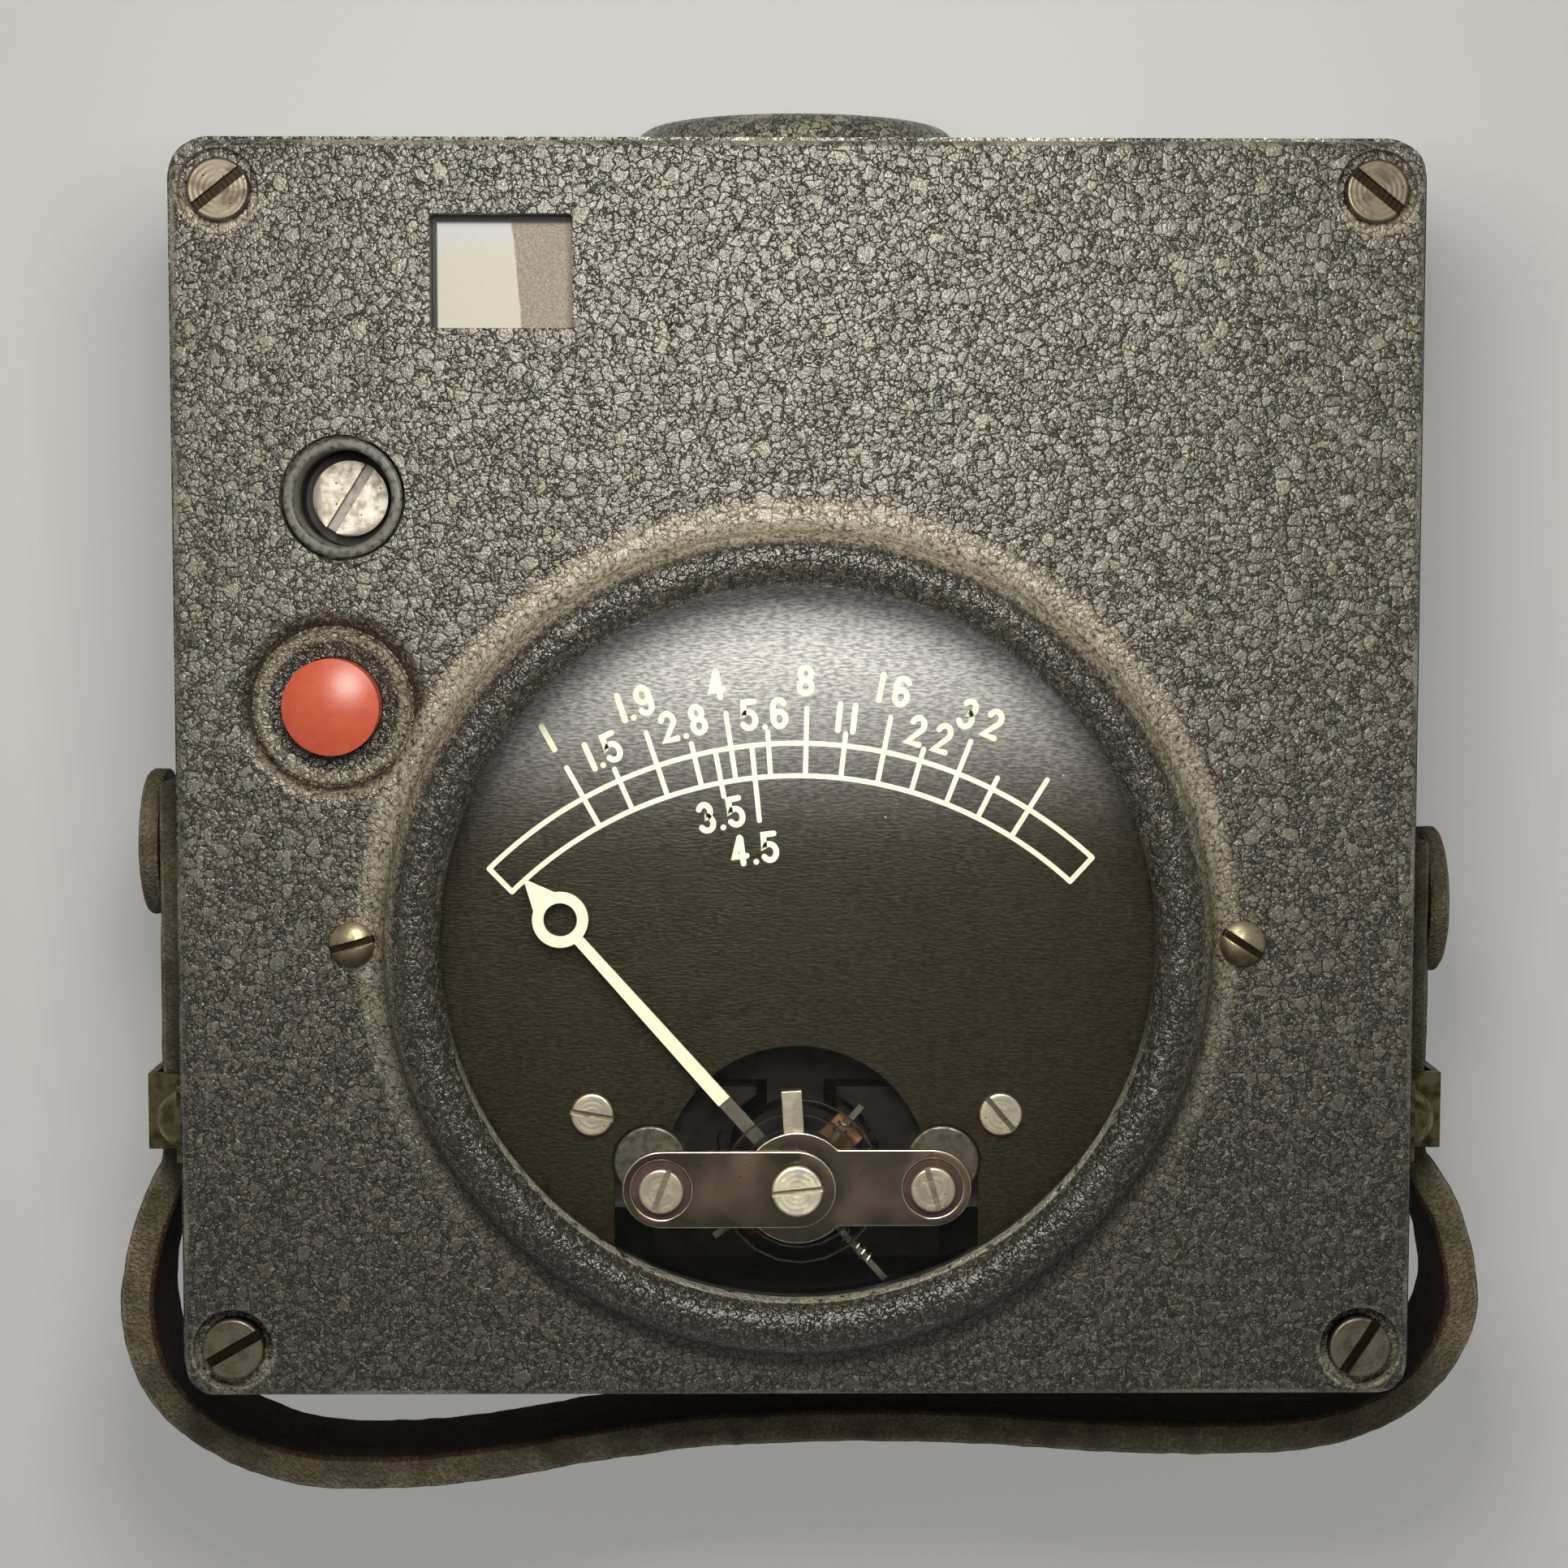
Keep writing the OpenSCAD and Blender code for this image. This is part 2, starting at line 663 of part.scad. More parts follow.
// Wire wound about +Z from z = 0, as one closed tube
module wound_wire(r, wire_r, pitch, turns) {
    rings = wire_rings;
    sides = wire_sides;
    count = turns * rings;
    echo(least_gap_mm = least_gap(wire_line(r, pitch, turns, rings), wire_r, rings));
    points = [for (i = [0:count], k = [0:sides - 1])
        let (a = 360 * i / rings, b = 360 * k / sides, q = r + wire_r * cos(b))
            [q * cos(a), q * sin(a), pitch * i / rings + wire_r * sin(b)]];
    skin = [for (i = [0:count - 1], k = [0:sides - 1])
        let (n = (k + 1) % sides, a = i * sides, b = (i + 1) * sides)
            each [[a + k, b + k, b + n], [a + k, b + n, a + n]]];
    start_cap = [for (k = [1:sides - 2]) [0, k, k + 1]];
    last = count * sides;
    end_cap = [for (k = [1:sides - 2]) [last, last + k + 1, last + k]];
    polyhedron(points, concat(skin, start_cap, end_cap));
}

module at_pivot(depth) { translate([0, pivot_y, front(depth)]) children(); }
module at_dial(depth) { translate([0, dial_y, front(depth)]) children(); }
module at_button(depth) { translate([button_x, button_y, front(depth)]) children(); }
module at_bush(depth) { translate([bush_x, bush_y, front(depth)]) children(); }
module at_hood() { translate([0, case_h / 2, hood_z]) rotate([-90, 0, 0]) children(); }
module at_corners() {
    for (x = [-1, 1], y = [-1, 1])
        translate([x * screw_x, y * screw_y, 0]) children();
}
module both_sides() {
    for (s = [0, 1])
        mirror([s, 0, 0]) children();
}

module case_shell() {
    difference() {
        translate([0, 0, z_rim]) mirror([0, 0, 1])
            soft_plate(case_w, case_h, case_depth, panel_corner_r + case_proud, case_edge_r);
        translate([0, 0, case_wall]) linear_extrude(case_depth)
            rounded_rect(case_w - 2 * case_wall, case_h - 2 * case_wall, panel_corner_r);
        translate([0, case_h / 2 - case_wall - over, hood_z]) rotate([-90, 0, 0])
            cylinder(r = hood_zone_r, h = case_wall + 2 * over);
    }
    at_hood() rotate_extrude() rim_section(hood_open_r, hood_rim_w, hood_rim_h, hood_fillet, case_wall,
        hood_zone_r);
    translate([boss_x, case_h / 2 - case_wall / 2, hood_z]) rotate([-90, 0, 0])
        domed_disc(boss_r, boss_h + case_wall / 2, boss_crown);
    at_corners() translate([0, 0, case_wall / 2]) cylinder(r = post_r, h = z_rim - case_wall / 2);
}

module case() {
    color("#2b2927") difference() {
        case_shell();
        at_corners() translate([0, 0, z_rim - panel_screw_l])
            cylinder(r = panel_screw_r + fit, h = panel_screw_l + over);
        at_hood() translate([0, 0, -case_wall - over])
            cylinder(r = cell_r + running, h = over + cell_seat);
        for (x = [-1, 1])
            at_hood() translate([x * cell_ear_x, 0, -case_wall - over])
                cylinder(r = small_screw_r + fit, h = over + case_wall - blind_skin);
        at_lens() translate([0, 0, -case_wall - over]) cylinder(r = lens_hole_r, h = case_wall + 2 * over);
        at_lens() translate([0, 0, -case_wall - over]) cylinder(r = lens_r + fit, h = over + lens_seat);
        both_sides() for (z = [-1, 1])
            translate([side_x - case_wall - over, keeper_y, strap_z + z * rivet_z]) rotate([0, 90, 0])
                cylinder(r = rivet_r + fit, h = case_wall + 2 * over);
    }
}

module panel_plate() {
    difference() {
        translate([0, 0, z_rim]) soft_plate(panel_w, panel_h, panel_t, panel_corner_r, panel_edge_r);
        translate([0, dial_y, z_rim - over]) cylinder(r = bezel_zone_r, h = panel_t + 2 * over);
    }
    at_dial(0) rotate_extrude()
        rim_section(dial_open_r, bezel_w, bezel_h, bezel_fillet, panel_t, bezel_zone_r);
    at_button(button_boss_depth) cylinder(r = button_boss_r, h = button_boss_depth - panel_t / 2);
    for (x = [-1, 1])
        at_button(switch_depth) translate([x * switch_pillar_at, 0, 0])
            cylinder(r = switch_pillar_r, h = switch_depth - panel_t / 2);
}

// Sunk dish with a rolled rim, a short wall and a floor that slopes in to the button
module dish_cut() {
    rotate_extrude() {
        polygon([[0, -dish_depth], [button_bore_r, -dish_depth], [dish_wall_r - dish_heel, -dish_wall_depth],
            [dish_wall_r, dish_heel - dish_wall_depth], [dish_wall_r, over], [0, over]]);
        difference() {
            translate([dish_wall_r - lap, -dish_roll_r]) square([dish_roll_r + lap, dish_roll_r + over]);
            translate([dish_r, -dish_roll_r]) circle(dish_roll_r);
        }
    }
}

module front_panel() {
    color("#35322f") difference() {
        panel_plate();
        at_dial(panel_t + over) cylinder(r = glass_r + glass_gap, h = panel_t + over + glass_up);
        at_button(0) dish_cut();
        at_button(button_boss_depth + over) cylinder(r = button_bore_r, h = button_boss_depth + over);
        for (x = [-1, 1])
            at_button(switch_depth + over) translate([x * switch_pillar_at, 0, 0])
                cylinder(r = switch_screw_r + fit, h = tapped_l + over);
        at_bush(panel_t + over) cylinder(r = bush_r + bush_gap, h = panel_t + 2 * over);
        translate([window_x, window_y, z_rim - over]) linear_extrude(panel_t + 2 * over)
            rounded_rect(window_w, window_h, window_corner_r);
        at_corners() translate([0, 0, z_rim - over])
            cylinder(r = panel_screw_r + fit, h = panel_t + 2 * over);
        at_corners() translate([0, 0, z_top - dimple_depth]) cylinder(r = dimple_r, h = dimple_depth + over);
        for (x = [-1, 1])
            translate([x * meter_screw_x, dial_y, 0]) {
                translate([0, 0, z_rim - over]) cylinder(r = small_screw_r + fit, h = panel_t + 2 * over);
                translate([0, 0, z_top]) cylinder(r = meter_screw_head_r + running, h = bezel_h);
            }
    }
}

module panel_screws() {
    angles = [[30, 38], [57, -39]];
    color("#8d8a84") for (x = [0, 1], y = [0, 1])
        translate([(2 * x - 1) * screw_x, (2 * y - 1) * screw_y, z_top - dimple_depth])
            slotted_screw(panel_screw_head_r, panel_screw_head_h, panel_screw_r,
                panel_screw_l + panel_t - dimple_depth - over, panel_slot_w, angles[x][y]);
}

module meter_glass() {
    color("#cfd8d8", 0.3) at_dial(-glass_under) cylinder(r = glass_r, h = glass_t);
}

module glass_spacer() {
    color("#1c1b1a") at_dial(panel_t) difference() {
        union() {
            translate([0, 0, -spacer_t]) cylinder(r = rebate_r - fit, h = spacer_t);
            cylinder(r = glass_r, h = panel_t + glass_under);
        }
        translate([0, 0, -spacer_t - over]) cylinder(r = spacer_in_r, h = spacer_t + panel_t + 2 * over);
    }
}

module cup_body() {
    difference() {
        union() {
            at_dial(panel_t + cup_depth) cylinder(r = cup_r, h = cup_depth);
            for (x = [-1, 1])
                at_dial(panel_t + ear_t) {
                    translate([x * meter_screw_x, 0, 0]) cylinder(r = ear_r, h = ear_t);
                    translate([x * cup_r - ear_lap, -ear_r, 0]) cube([2 * ear_lap, 2 * ear_r, ear_t]);
                }
        }
        at_dial(cup_floor_depth) cylinder(r = cup_in_r, h = cup_depth);
        at_dial(panel_t + spacer_t) cylinder(r = rebate_r, h = spacer_t + over);
    }
    for (x = [-1, 1])
        translate([x * frame_screw_x, pivot_y + frame_screw_rise, front(cup_floor_depth + cup_wall / 2)])
            cylinder(r = frame_boss_r, h = cup_floor_depth + cup_wall / 2 - pole_bottom);
}

module meter_cup() {
    color("#201f1e") difference() {
        cup_body();
        for (x = [-1, 1]) {
            translate([x * meter_screw_x, dial_y, front(panel_t + ear_t + over)])
                cylinder(r = small_screw_r + fit, h = ear_t + 2 * over);
            translate([x * frame_screw_x, pivot_y + frame_screw_rise, front(panel_t + cup_depth + over)])
                cylinder(r = small_screw_r + fit, h = cup_depth);
            translate([x * terminal_x, terminal_y, front(panel_t + cup_depth + over)])
                cylinder(r = small_screw_r + fit, h = cup_wall + 2 * over);
        }
    }
}

module meter_screws() {
    angles = [15, -33];
    color("#3c3934") for (x = [0, 1])
        translate([(2 * x - 1) * meter_screw_x, dial_y, z_top])
            slotted_screw(meter_screw_head_r, meter_screw_head_h, small_screw_r, panel_t + ear_t,
                meter_slot_w, angles[x], domed = true);
}

module dial_plate() {
    color("#141414") at_dial(dial_back) linear_extrude(dial_t) difference() {
        circle(dial_r);
        translate([0, -pivot_drop]) circle(arch_r);
        translate([-notch_w / 2, -pivot_drop - dial_r]) square([notch_w, dial_r + notch_rise]);
        for (x = [-1, 1])
            translate([x * dial_screw_span / 2, -pivot_drop + dial_screw_rise]) circle(small_screw_r + fit);
        for (x = [-1, 1])
            translate([x * (bridge_span / 2 + post_foot_out), -pivot_drop + post_foot_up])
                circle(post_foot_r + running);
    }
}

module at_dial_screws(depth) {
    for (x = [-1, 1])
        translate([x * dial_screw_span / 2, pivot_y + dial_screw_rise, front(depth)]) children();
}

module dial_pillars() {
    color("#b08d4f") at_dial_screws(magnet_top) difference() {
        cylinder(r = dial_screw_head_r, h = magnet_top - dial_back);
        translate([0, 0, blind_skin]) cylinder(r = small_screw_r + fit, h = magnet_top);
    }
}

module dial_screws() {
    angles = [-10, -50];
    color("#55524d") for (x = [0, 1])
        translate([(x - 0.5) * dial_screw_span, pivot_y + dial_screw_rise, front(dial_depth)])
            slotted_screw(dial_screw_head_r, small_head_h, small_screw_r, magnet_top - dial_depth - over,
                small_slot_w, angles[x]);
}

module magnet() {
    arch_y = dial_y + magnet_rise;
    color("#6a2f2a") translate([0, 0, front(magnet_top + magnet_t)]) linear_extrude(magnet_t) difference() {
        union() {
            translate([0, arch_y]) circle(magnet_r);
            translate([-magnet_r, magnet_foot_y]) square([2 * magnet_r, arch_y - magnet_foot_y]);
        }
        translate([0, arch_y]) circle(pole_x);
        translate([-pole_x, magnet_foot_y - over]) square([2 * pole_x, arch_y - magnet_foot_y + over]);
    }
}

module pole_pieces() {
    color("#5b5a58") both_sides() difference() {
        translate([pole_gap / 2, pivot_y - pole_h / 2, front(pole_bottom)])
            cube([pole_x - pole_gap / 2, pole_h, pole_t]);
        at_pivot(pole_bottom + over) cylinder(r = bore_r, h = pole_t + 2 * over);
        translate([frame_screw_x, pivot_y + frame_screw_rise, front(pole_bottom + over)])
            cylinder(r = small_screw_r + fit, h = tapped_l + over);
    }
}

module core() {
    color("#77746e") at_pivot(core_top + core_l) cylinder(r = core_r, h = core_l);
}

module core_bracket() {
    arm_top = core_top + (core_l - core_arm_t) / 2;
    color("#b08d4f") at_pivot(arm_top + core_arm_t) linear_extrude(core_arm_t) difference() {
        union() {
            translate([-core_arm_w / 2, 0]) square([core_arm_w, pole_h / 2 + core_bar / 2]);
            translate([-pole_x + running, pole_h / 2]) square([2 * (pole_x - running), core_bar]);
        }
        circle(core_r + fit);
    }
}

// Posts on off-centre round feet that stand a little above the dial
module bridge_posts() {
    color("#a9a59c") for (x = [-1, 1]) {
        top = x < 0 ? layer_2 : layer_3;
        at_pivot(pole_top) translate([x * bridge_span / 2, 0, 0]) difference() {
            union() {
                cylinder(r = bridge_post_r, h = pole_top - top);
                translate([x * post_foot_out, post_foot_up, 0])
                    soft_disc(post_foot_r, pole_top - dial_depth + post_foot_proud, head_edge_r);
            }
            translate([0, 0, blind_skin]) cylinder(r = small_screw_r + fit, h = pole_top);
        }
    }
}

module upper_bridge() {
    color("#b9b4a8") at_pivot(layer_3) linear_extrude(bridge_t) difference() {
        union() {
            circle(bridge_disc_r);
            arm_outline(bridge_span / 2, bridge_w);
        }
        circle(jewel_r + fit);
        translate([bridge_span / 2, 0]) circle(fibre_r + fit);
    }
}

module bridge_strap() {
    color("#c4bfb3") at_pivot(layer_2) linear_extrude(bridge_t) mirror([1, 0]) difference() {
        arm_outline(bridge_span / 2, bridge_w);
        circle(jewel_r + fit);
        translate([bridge_span / 2, 0]) circle(fibre_r + fit);
    }
}

module at_bridge_ends() {
    for (x = [-1, 1])
        at_pivot(x < 0 ? layer_2 : layer_3) translate([x * bridge_span / 2, 0, 0]) children();
}

module fibre_bushes() {
    color("#7a3b30") at_bridge_ends() difference() {
        cylinder(r = fibre_r, h = bridge_t);
        translate([0, 0, -over]) cylinder(r = small_screw_r + fit, h = bridge_t + 2 * over);
    }
}

module bridge_screws() {
    left_angle = 69;
    right_angle = -74;
    color("#8f8b82") for (x = [-1, 1])
        at_pivot(x < 0 ? bridge_depth : layer_2) translate([x * bridge_span / 2, 0, 0])
            slotted_screw(bridge_screw_head_r, small_head_h, small_screw_r, bridge_t + bridge_grip,
                small_slot_w, x < 0 ? left_angle : right_angle);
}

// Jewel screw along +Z with a conical cup in its end
module jewel_screw(shank_l) {
    angle = 6;
    difference() {
        slotted_screw(jewel_head_r, small_head_h, jewel_r, shank_l, small_slot_w, angle);
        translate([0, 0, -shank_l]) cylinder(r1 = staff_r + fit, r2 = fit, h = jewel_cup_h);
    }
}

module upper_jewel_screw() {
    color("#c2ad7a") at_pivot(bridge_depth) jewel_screw(jewel_end - bridge_depth);
}

module zero_lever() {
    hub_r = 3;
    color("#a7a49b") {
        at_pivot(jewel_end) linear_extrude(jewel_end - layer_3 - fit) difference() {
            union() {
                circle(hub_r);
                rotate(lever_angle) translate([0, -lever_w / 2]) square([lever_l, lever_w]);
            }
            circle(jewel_r + fit);
        }
        at_pivot(lever_end_depth) rotate(lever_angle) translate([lever_l - lever_lip_w, -lever_w / 2, 0])
            cube([lever_lip_w, lever_w, lever_end_depth - jewel_end + lap]);
    }
}

module upper_hairspring() {
    color("#9aa0a8") at_pivot(hair_top + hair_h) linear_extrude(hair_h)
        spiral(hair_in_r, lever_l - lever_lip_w - 2 * hair_t, hair_turns, lever_angle);
}

module at_lower_posts(depth) {
    for (x = [-1, 1])
        at_pivot(depth) translate([x * lower_post_x, 0, 0]) children();
}

module lower_posts() {
    color("#a9a59c") at_lower_posts(lower_bridge_top) difference() {
        cylinder(r = lower_post_r, h = lower_bridge_top - pole_bottom);
        translate([0, 0, -over]) cylinder(r = small_screw_r + fit, h = lower_post_l - blind_skin + over);
    }
}

module lower_bridge() {
    color("#b9b4a8") at_pivot(lower_bridge_under) linear_extrude(bridge_t) difference() {
        translate([-lower_post_x, 0]) arm_outline(2 * lower_post_x, 2 * (lower_post_r + lower_bridge_margin));
        circle(jewel_r + fit);
        for (x = [-1, 1])
            translate([x * lower_post_x, 0]) circle(small_screw_r + fit);
    }
}

module lower_jewel_screw() {
    color("#c2ad7a") at_pivot(lower_bridge_under) mirror([0, 0, 1])
        jewel_screw(lower_bridge_under - lower_jewel_end);
}

module lower_hairspring() {
    above_jewel = 0.3;
    strip_h = 0.4;
    color("#9aa0a8") at_pivot(lower_jewel_end - above_jewel) linear_extrude(strip_h)
        spiral(hair_in_r, lower_post_x - lower_post_r - 2 * hair_t, hair_turns, 0);
}

module meter_terminals() {
    color("#b08d4f") for (x = [-1, 1])
        translate([x * terminal_x, terminal_y, front(panel_t + cup_depth)]) {
            translate([0, 0, -terminal_l])
                cylinder(r = small_screw_r, h = terminal_l + cup_wall + small_head_h);
            translate([0, 0, -terminal_nut_t]) cylinder(r = terminal_nut_r, h = terminal_nut_t, $fn = 6);
            translate([0, 0, cup_wall]) cylinder(r = terminal_head_r, h = small_head_h);
        }
}

// Round-head screws that hold the movement, the lower bridge, the switch plate and the cell's cup
module inner_screws() {
    grip = 2;
    frame_shank = cup_wall + cup_floor_depth - pole_bottom + grip;
    head_r = 1.7;
    frame_head_r = 2;
    switch_head_r = 1.5;
    angle = 30;
    color("#8f8b82") {
        for (x = [-1, 1]) {
            translate([x * frame_screw_x, pivot_y + frame_screw_rise, front(panel_t + cup_depth)])
                mirror([0, 0, 1])
                    slotted_screw(frame_head_r, small_head_h, small_screw_r, frame_shank,
                        small_slot_w, angle);
            at_button(switch_depth + switch_plate_t) translate([x * switch_pillar_at, 0, 0]) mirror([0, 0, 1])
                slotted_screw(switch_head_r, small_head_h, switch_screw_r, switch_plate_t + grip,
                    small_slot_w, angle);
            at_hood() translate([x * cell_ear_x, 0, -case_wall - cell_ear_t]) mirror([0, 0, 1])
                slotted_screw(head_r, small_head_h, small_screw_r, cell_ear_t + case_wall - over,
                    small_slot_w, angle);
        }
        at_lower_posts(lower_bridge_under) mirror([0, 0, 1])
            slotted_screw(head_r, small_head_h, small_screw_r, bridge_t + grip, small_slot_w, angle);
    }
}

module moving_coil() {
    tall = coil_bottom - coil_top;
    corner_r = 1.2;
    inner_corner_r = 0.6;
    color("#a0572f") at_pivot((coil_top + coil_bottom) / 2) rotate(pointer_rest + 90) rotate([90, 0, 0])
        linear_extrude(coil_w, center = true) difference() {
            rounded_rect(2 * coil_r, tall, corner_r);
            rounded_rect(2 * (coil_r - coil_t), tall - 2 * coil_end_t, inner_corner_r);
        }
}

module coil_staffs() {
    collar = hair_top + hair_h;
    tip_h = 1;
    above_jewel = 0.2;
    lower_shoulder = lower_jewel_end - above_jewel;
    lower_tip_h = 0.6;
    color("#8a8d92") {
        at_pivot(collar) cylinder(r = staff_r + staff_collar, h = hair_h);
        at_pivot(coil_top) rotate_extrude()
            polygon([[0, 0], [staff_r, 0], [staff_r, coil_top - hair_top],
                [staff_tip_r, coil_top - hair_top + tip_h], [0, coil_top - hair_top + tip_h]]);
        at_pivot(lower_shoulder + lower_tip_h) rotate_extrude()
            polygon([[0, 0], [staff_tip_r, 0], [staff_r, lower_tip_h],
                [staff_r, lower_tip_h + lower_shoulder - coil_bottom],
                [0, lower_tip_h + lower_shoulder - coil_bottom]]);
    }
}

module at_pointer(depth) { at_pivot(depth) rotate(pointer_rest) children(); }

module balance_cross() {
    hub_r = 1.5;
    lap = 1;
    color("#b5b1a6") at_pointer(cross_top + pointer_t) linear_extrude(pointer_t) difference() {
        union() {
            circle(hub_r);
            translate([0, -pointer_w / 2]) square([pointer_root + lap, pointer_w]);
            for (a = [side_arm_angle, -side_arm_angle])
                rotate(a) translate([0, -arm_w / 2]) square([side_arm_l, arm_w]);
            translate([-tail_l, -arm_w / 2]) square([tail_l, arm_w]);
        }
        circle(staff_r + press);
    }
}

// Wire weights wound round the tail and the side arms
module balance_coils() {
    tail_turns = 6;
    tail_end = 2.3;
    side_turns = 2;
    side_end = 1.8;
    color("#8f6f4a") at_pointer(cross_top + pointer_t / 2) {
        rotate([0, -90, 0]) translate([0, 0, tail_l - tail_end - tail_turns * balance_pitch])
            wound_wire(balance_coil_r, balance_wire_r, balance_pitch, tail_turns);
        for (a = [side_arm_angle, -side_arm_angle])
            rotate(a) rotate([0, 90, 0]) translate([0, 0, side_arm_l - side_end - side_turns * balance_pitch])
                wound_wire(balance_coil_r, balance_wire_r, balance_pitch, side_turns);
    }
}

module pointer() {
    lap = 0.4;
    bar_end = pointer_ring_at - pointer_ring_r + lap;
    bar_end_half = 0.45;
    ring_in = pointer_ring_r - pointer_ring_w;
    tip_half = 1.5;
    color("#d8d0b4") at_pointer(cross_top) linear_extrude(pointer_t) difference() {
        union() {
            polygon([[pointer_root, -pointer_w / 2], [bar_end, -bar_end_half],
                [bar_end, bar_end_half], [pointer_root, pointer_w / 2]]);
            translate([pointer_ring_at, 0]) circle(pointer_ring_r);
            polygon([[pointer_ring_at + ring_in, -tip_half], [pointer_l, 0],
                [pointer_ring_at + ring_in, tip_half]]);
        }
        translate([pointer_ring_at, 0]) circle(ring_in);
    }
}

module push_button() {
    color("#b3261e") {
        at_button(button_boss_depth) intersection() {
            domed_disc(button_r, button_boss_depth + button_up, button_crown);
            soft_disc(button_r, button_boss_depth + button_up, button_edge_r);
        }
        at_button(button_boss_depth + flange_t) cylinder(r = flange_r, h = flange_t);
        at_button(button_boss_depth + flange_t) cylinder(r = button_r - lap, h = flange_t + lap);
        at_button(disc_top) cylinder(r = stem_r, h = disc_top - button_boss_depth);
        at_button(disc_top + disc_t + stem_tip_past) cylinder(r = stem_tip_r, h = disc_t + 2 * stem_tip_past);
    }
}

module button_spring() {
    spring_top = button_boss_depth + flange_t;
    rise = switch_depth - spring_top - 2 * (button_wire_r + fit);
    color("#9a9a98") at_button(switch_depth - button_wire_r - fit)
        wound_wire(stem_r + spring_out, button_wire_r, rise / button_spring_turns, button_spring_turns);
}

module contact_disc() {
    color("#c08a3e") at_button(disc_top + disc_t) difference() {
        cylinder(r = disc_r, h = disc_t);
        translate([0, 0, -over]) cylinder(r = stem_tip_r + press, h = disc_t + 2 * over);
    }
}

module switch_plate() {
    end_margin = 1;
    round_margin = 4.1;
    stem_gap = 0.3;
    color("#4a2c1d") at_button(switch_depth + switch_plate_t) linear_extrude(switch_plate_t) difference() {
        union() {
            translate([-switch_pillar_at, 0])
                arm_outline(2 * switch_pillar_at, 2 * (switch_pillar_r + end_margin));
            circle(stem_r + round_margin);
        }
        circle(stem_r + stem_gap);
        for (x = [-1, 1])
            translate([x * switch_pillar_at, 0]) circle(switch_screw_r + fit);
    }
}

module switch_contacts() {
    strip_w = 3;
    tip_gap = 0.7;
    bend_out = 1.9;
    inner = stem_tip_r + tip_gap;
    outer = disc_r + bend_out;
    plate_under = switch_depth + switch_plate_t;
    color("#c08a3e") for (s = [0, 1])
        at_button(contact_top + contact_t) mirror([s, 0, 0]) {
            translate([outer - contact_t, -strip_w / 2, 0])
                cube([contact_t, strip_w, contact_top + contact_t - plate_under]);
            translate([inner, -strip_w / 2, 0]) cube([outer - inner, strip_w, contact_t]);
        }
}

module adjuster_bush() {
    wall = bush_r - bush_bore_r;
    shaft_bore_r = shaft_r + running;
    color("#1d1c1b") at_bush(bush_l) rotate_extrude() {
        translate([bush_bore_r + wall / 2, 0]) crowned_section(wall, bush_l, bush_edge_r);
        translate([shaft_bore_r, 0]) square([bush_bore_r + wall / 2 - shaft_bore_r, bush_floor_t]);
    }
}

module bush_nut() {
    nut_t = 2.6;
    nut_w = 2.2;
    color("#8f8b82") at_bush(panel_t + nut_t) difference() {
        cylinder(r = bush_r + nut_w, h = nut_t, $fn = 6);
        translate([0, 0, -over]) cylinder(r = bush_r + fit, h = nut_t + 2 * over);
    }
}

module adjuster_shaft() {
    head_under = bush_l - bush_floor_t - fit;
    shaft_end = winding_top + shaft_past_wiper;
    color("#98948b") difference() {
        union() {
            at_bush(head_under) cylinder(r = adjuster_head_r, h = head_under - adjuster_depth);
            at_bush(shaft_end) cylinder(r = shaft_r, h = shaft_end - head_under + lap);
        }
        at_bush(adjuster_depth) rotate(adjuster_slot_angle)
            cube([4 * adjuster_head_r, adjuster_slot_w, 2 * adjuster_slot_depth], center = true);
    }
}

module rheostat_case() {
    top_t = 1;
    shaft_gap = 0.3;
    color("#3a241a") at_bush(bush_l + rheostat_h) difference() {
        cylinder(r = rheostat_r, h = rheostat_h);
        translate([0, 0, -over]) cylinder(r = rheostat_r - rheostat_wall, h = rheostat_h - top_t + over);
        cylinder(r = shaft_r + shaft_gap, h = rheostat_h + over);
    }
}

module rheostat_winding() {
    out_r = rheostat_r - rheostat_wall - running;
    corner_r = 0.6;
    color("#6f6a5c") at_bush(winding_top + winding_t) rotate(90 - winding_angle / 2)
        rotate_extrude(angle = winding_angle) translate([out_r - winding_w / 2, winding_t / 2])
            rounded_rect(winding_w, winding_t, corner_r);
}

module rheostat_wiper() {
    hub_wall = 1.3;
    arm_t = 0.6;
    tip_w = 1.2;
    tip_at = rheostat_r - rheostat_wall - running - winding_w / 2;
    arm_under = wiper_depth + wiper_hub_h;
    color("#c08a3e") {
        at_bush(arm_under) difference() {
            union() {
                cylinder(r = shaft_r + hub_wall, h = wiper_hub_h);
                translate([-tip_w, 0, 0]) cube([2 * tip_w, tip_at + tip_w / 2, arm_t]);
            }
            translate([0, 0, -over]) cylinder(r = shaft_r + press, h = wiper_hub_h + 2 * over);
        }
        at_bush(winding_top - running) translate([-tip_w / 2, tip_at - tip_w / 2, 0])
            cube([tip_w, tip_w, winding_top - running - arm_under + arm_t]);
    }
}

module at_window(z) { translate([window_x, window_y, z]) children(); }
module at_lens() { translate([window_x, case_h / 2, front(mirror_drop)]) rotate([-90, 0, 0]) children(); }

module finder_glass() {
    color("#d9d4c8", 0.9) at_window(z_rim - ground_glass_t) linear_extrude(ground_glass_t)
        rounded_rect(window_w + 2 * glass_margin, window_h + 2 * glass_margin, window_corner_r);
}

// A section in the plane of Y and Z, extruded evenly to both sides of the finder's middle
module finder_section(w) {
    translate([window_x, 0, 0]) rotate([90, 0, 90]) linear_extrude(w, center = true) children();
}

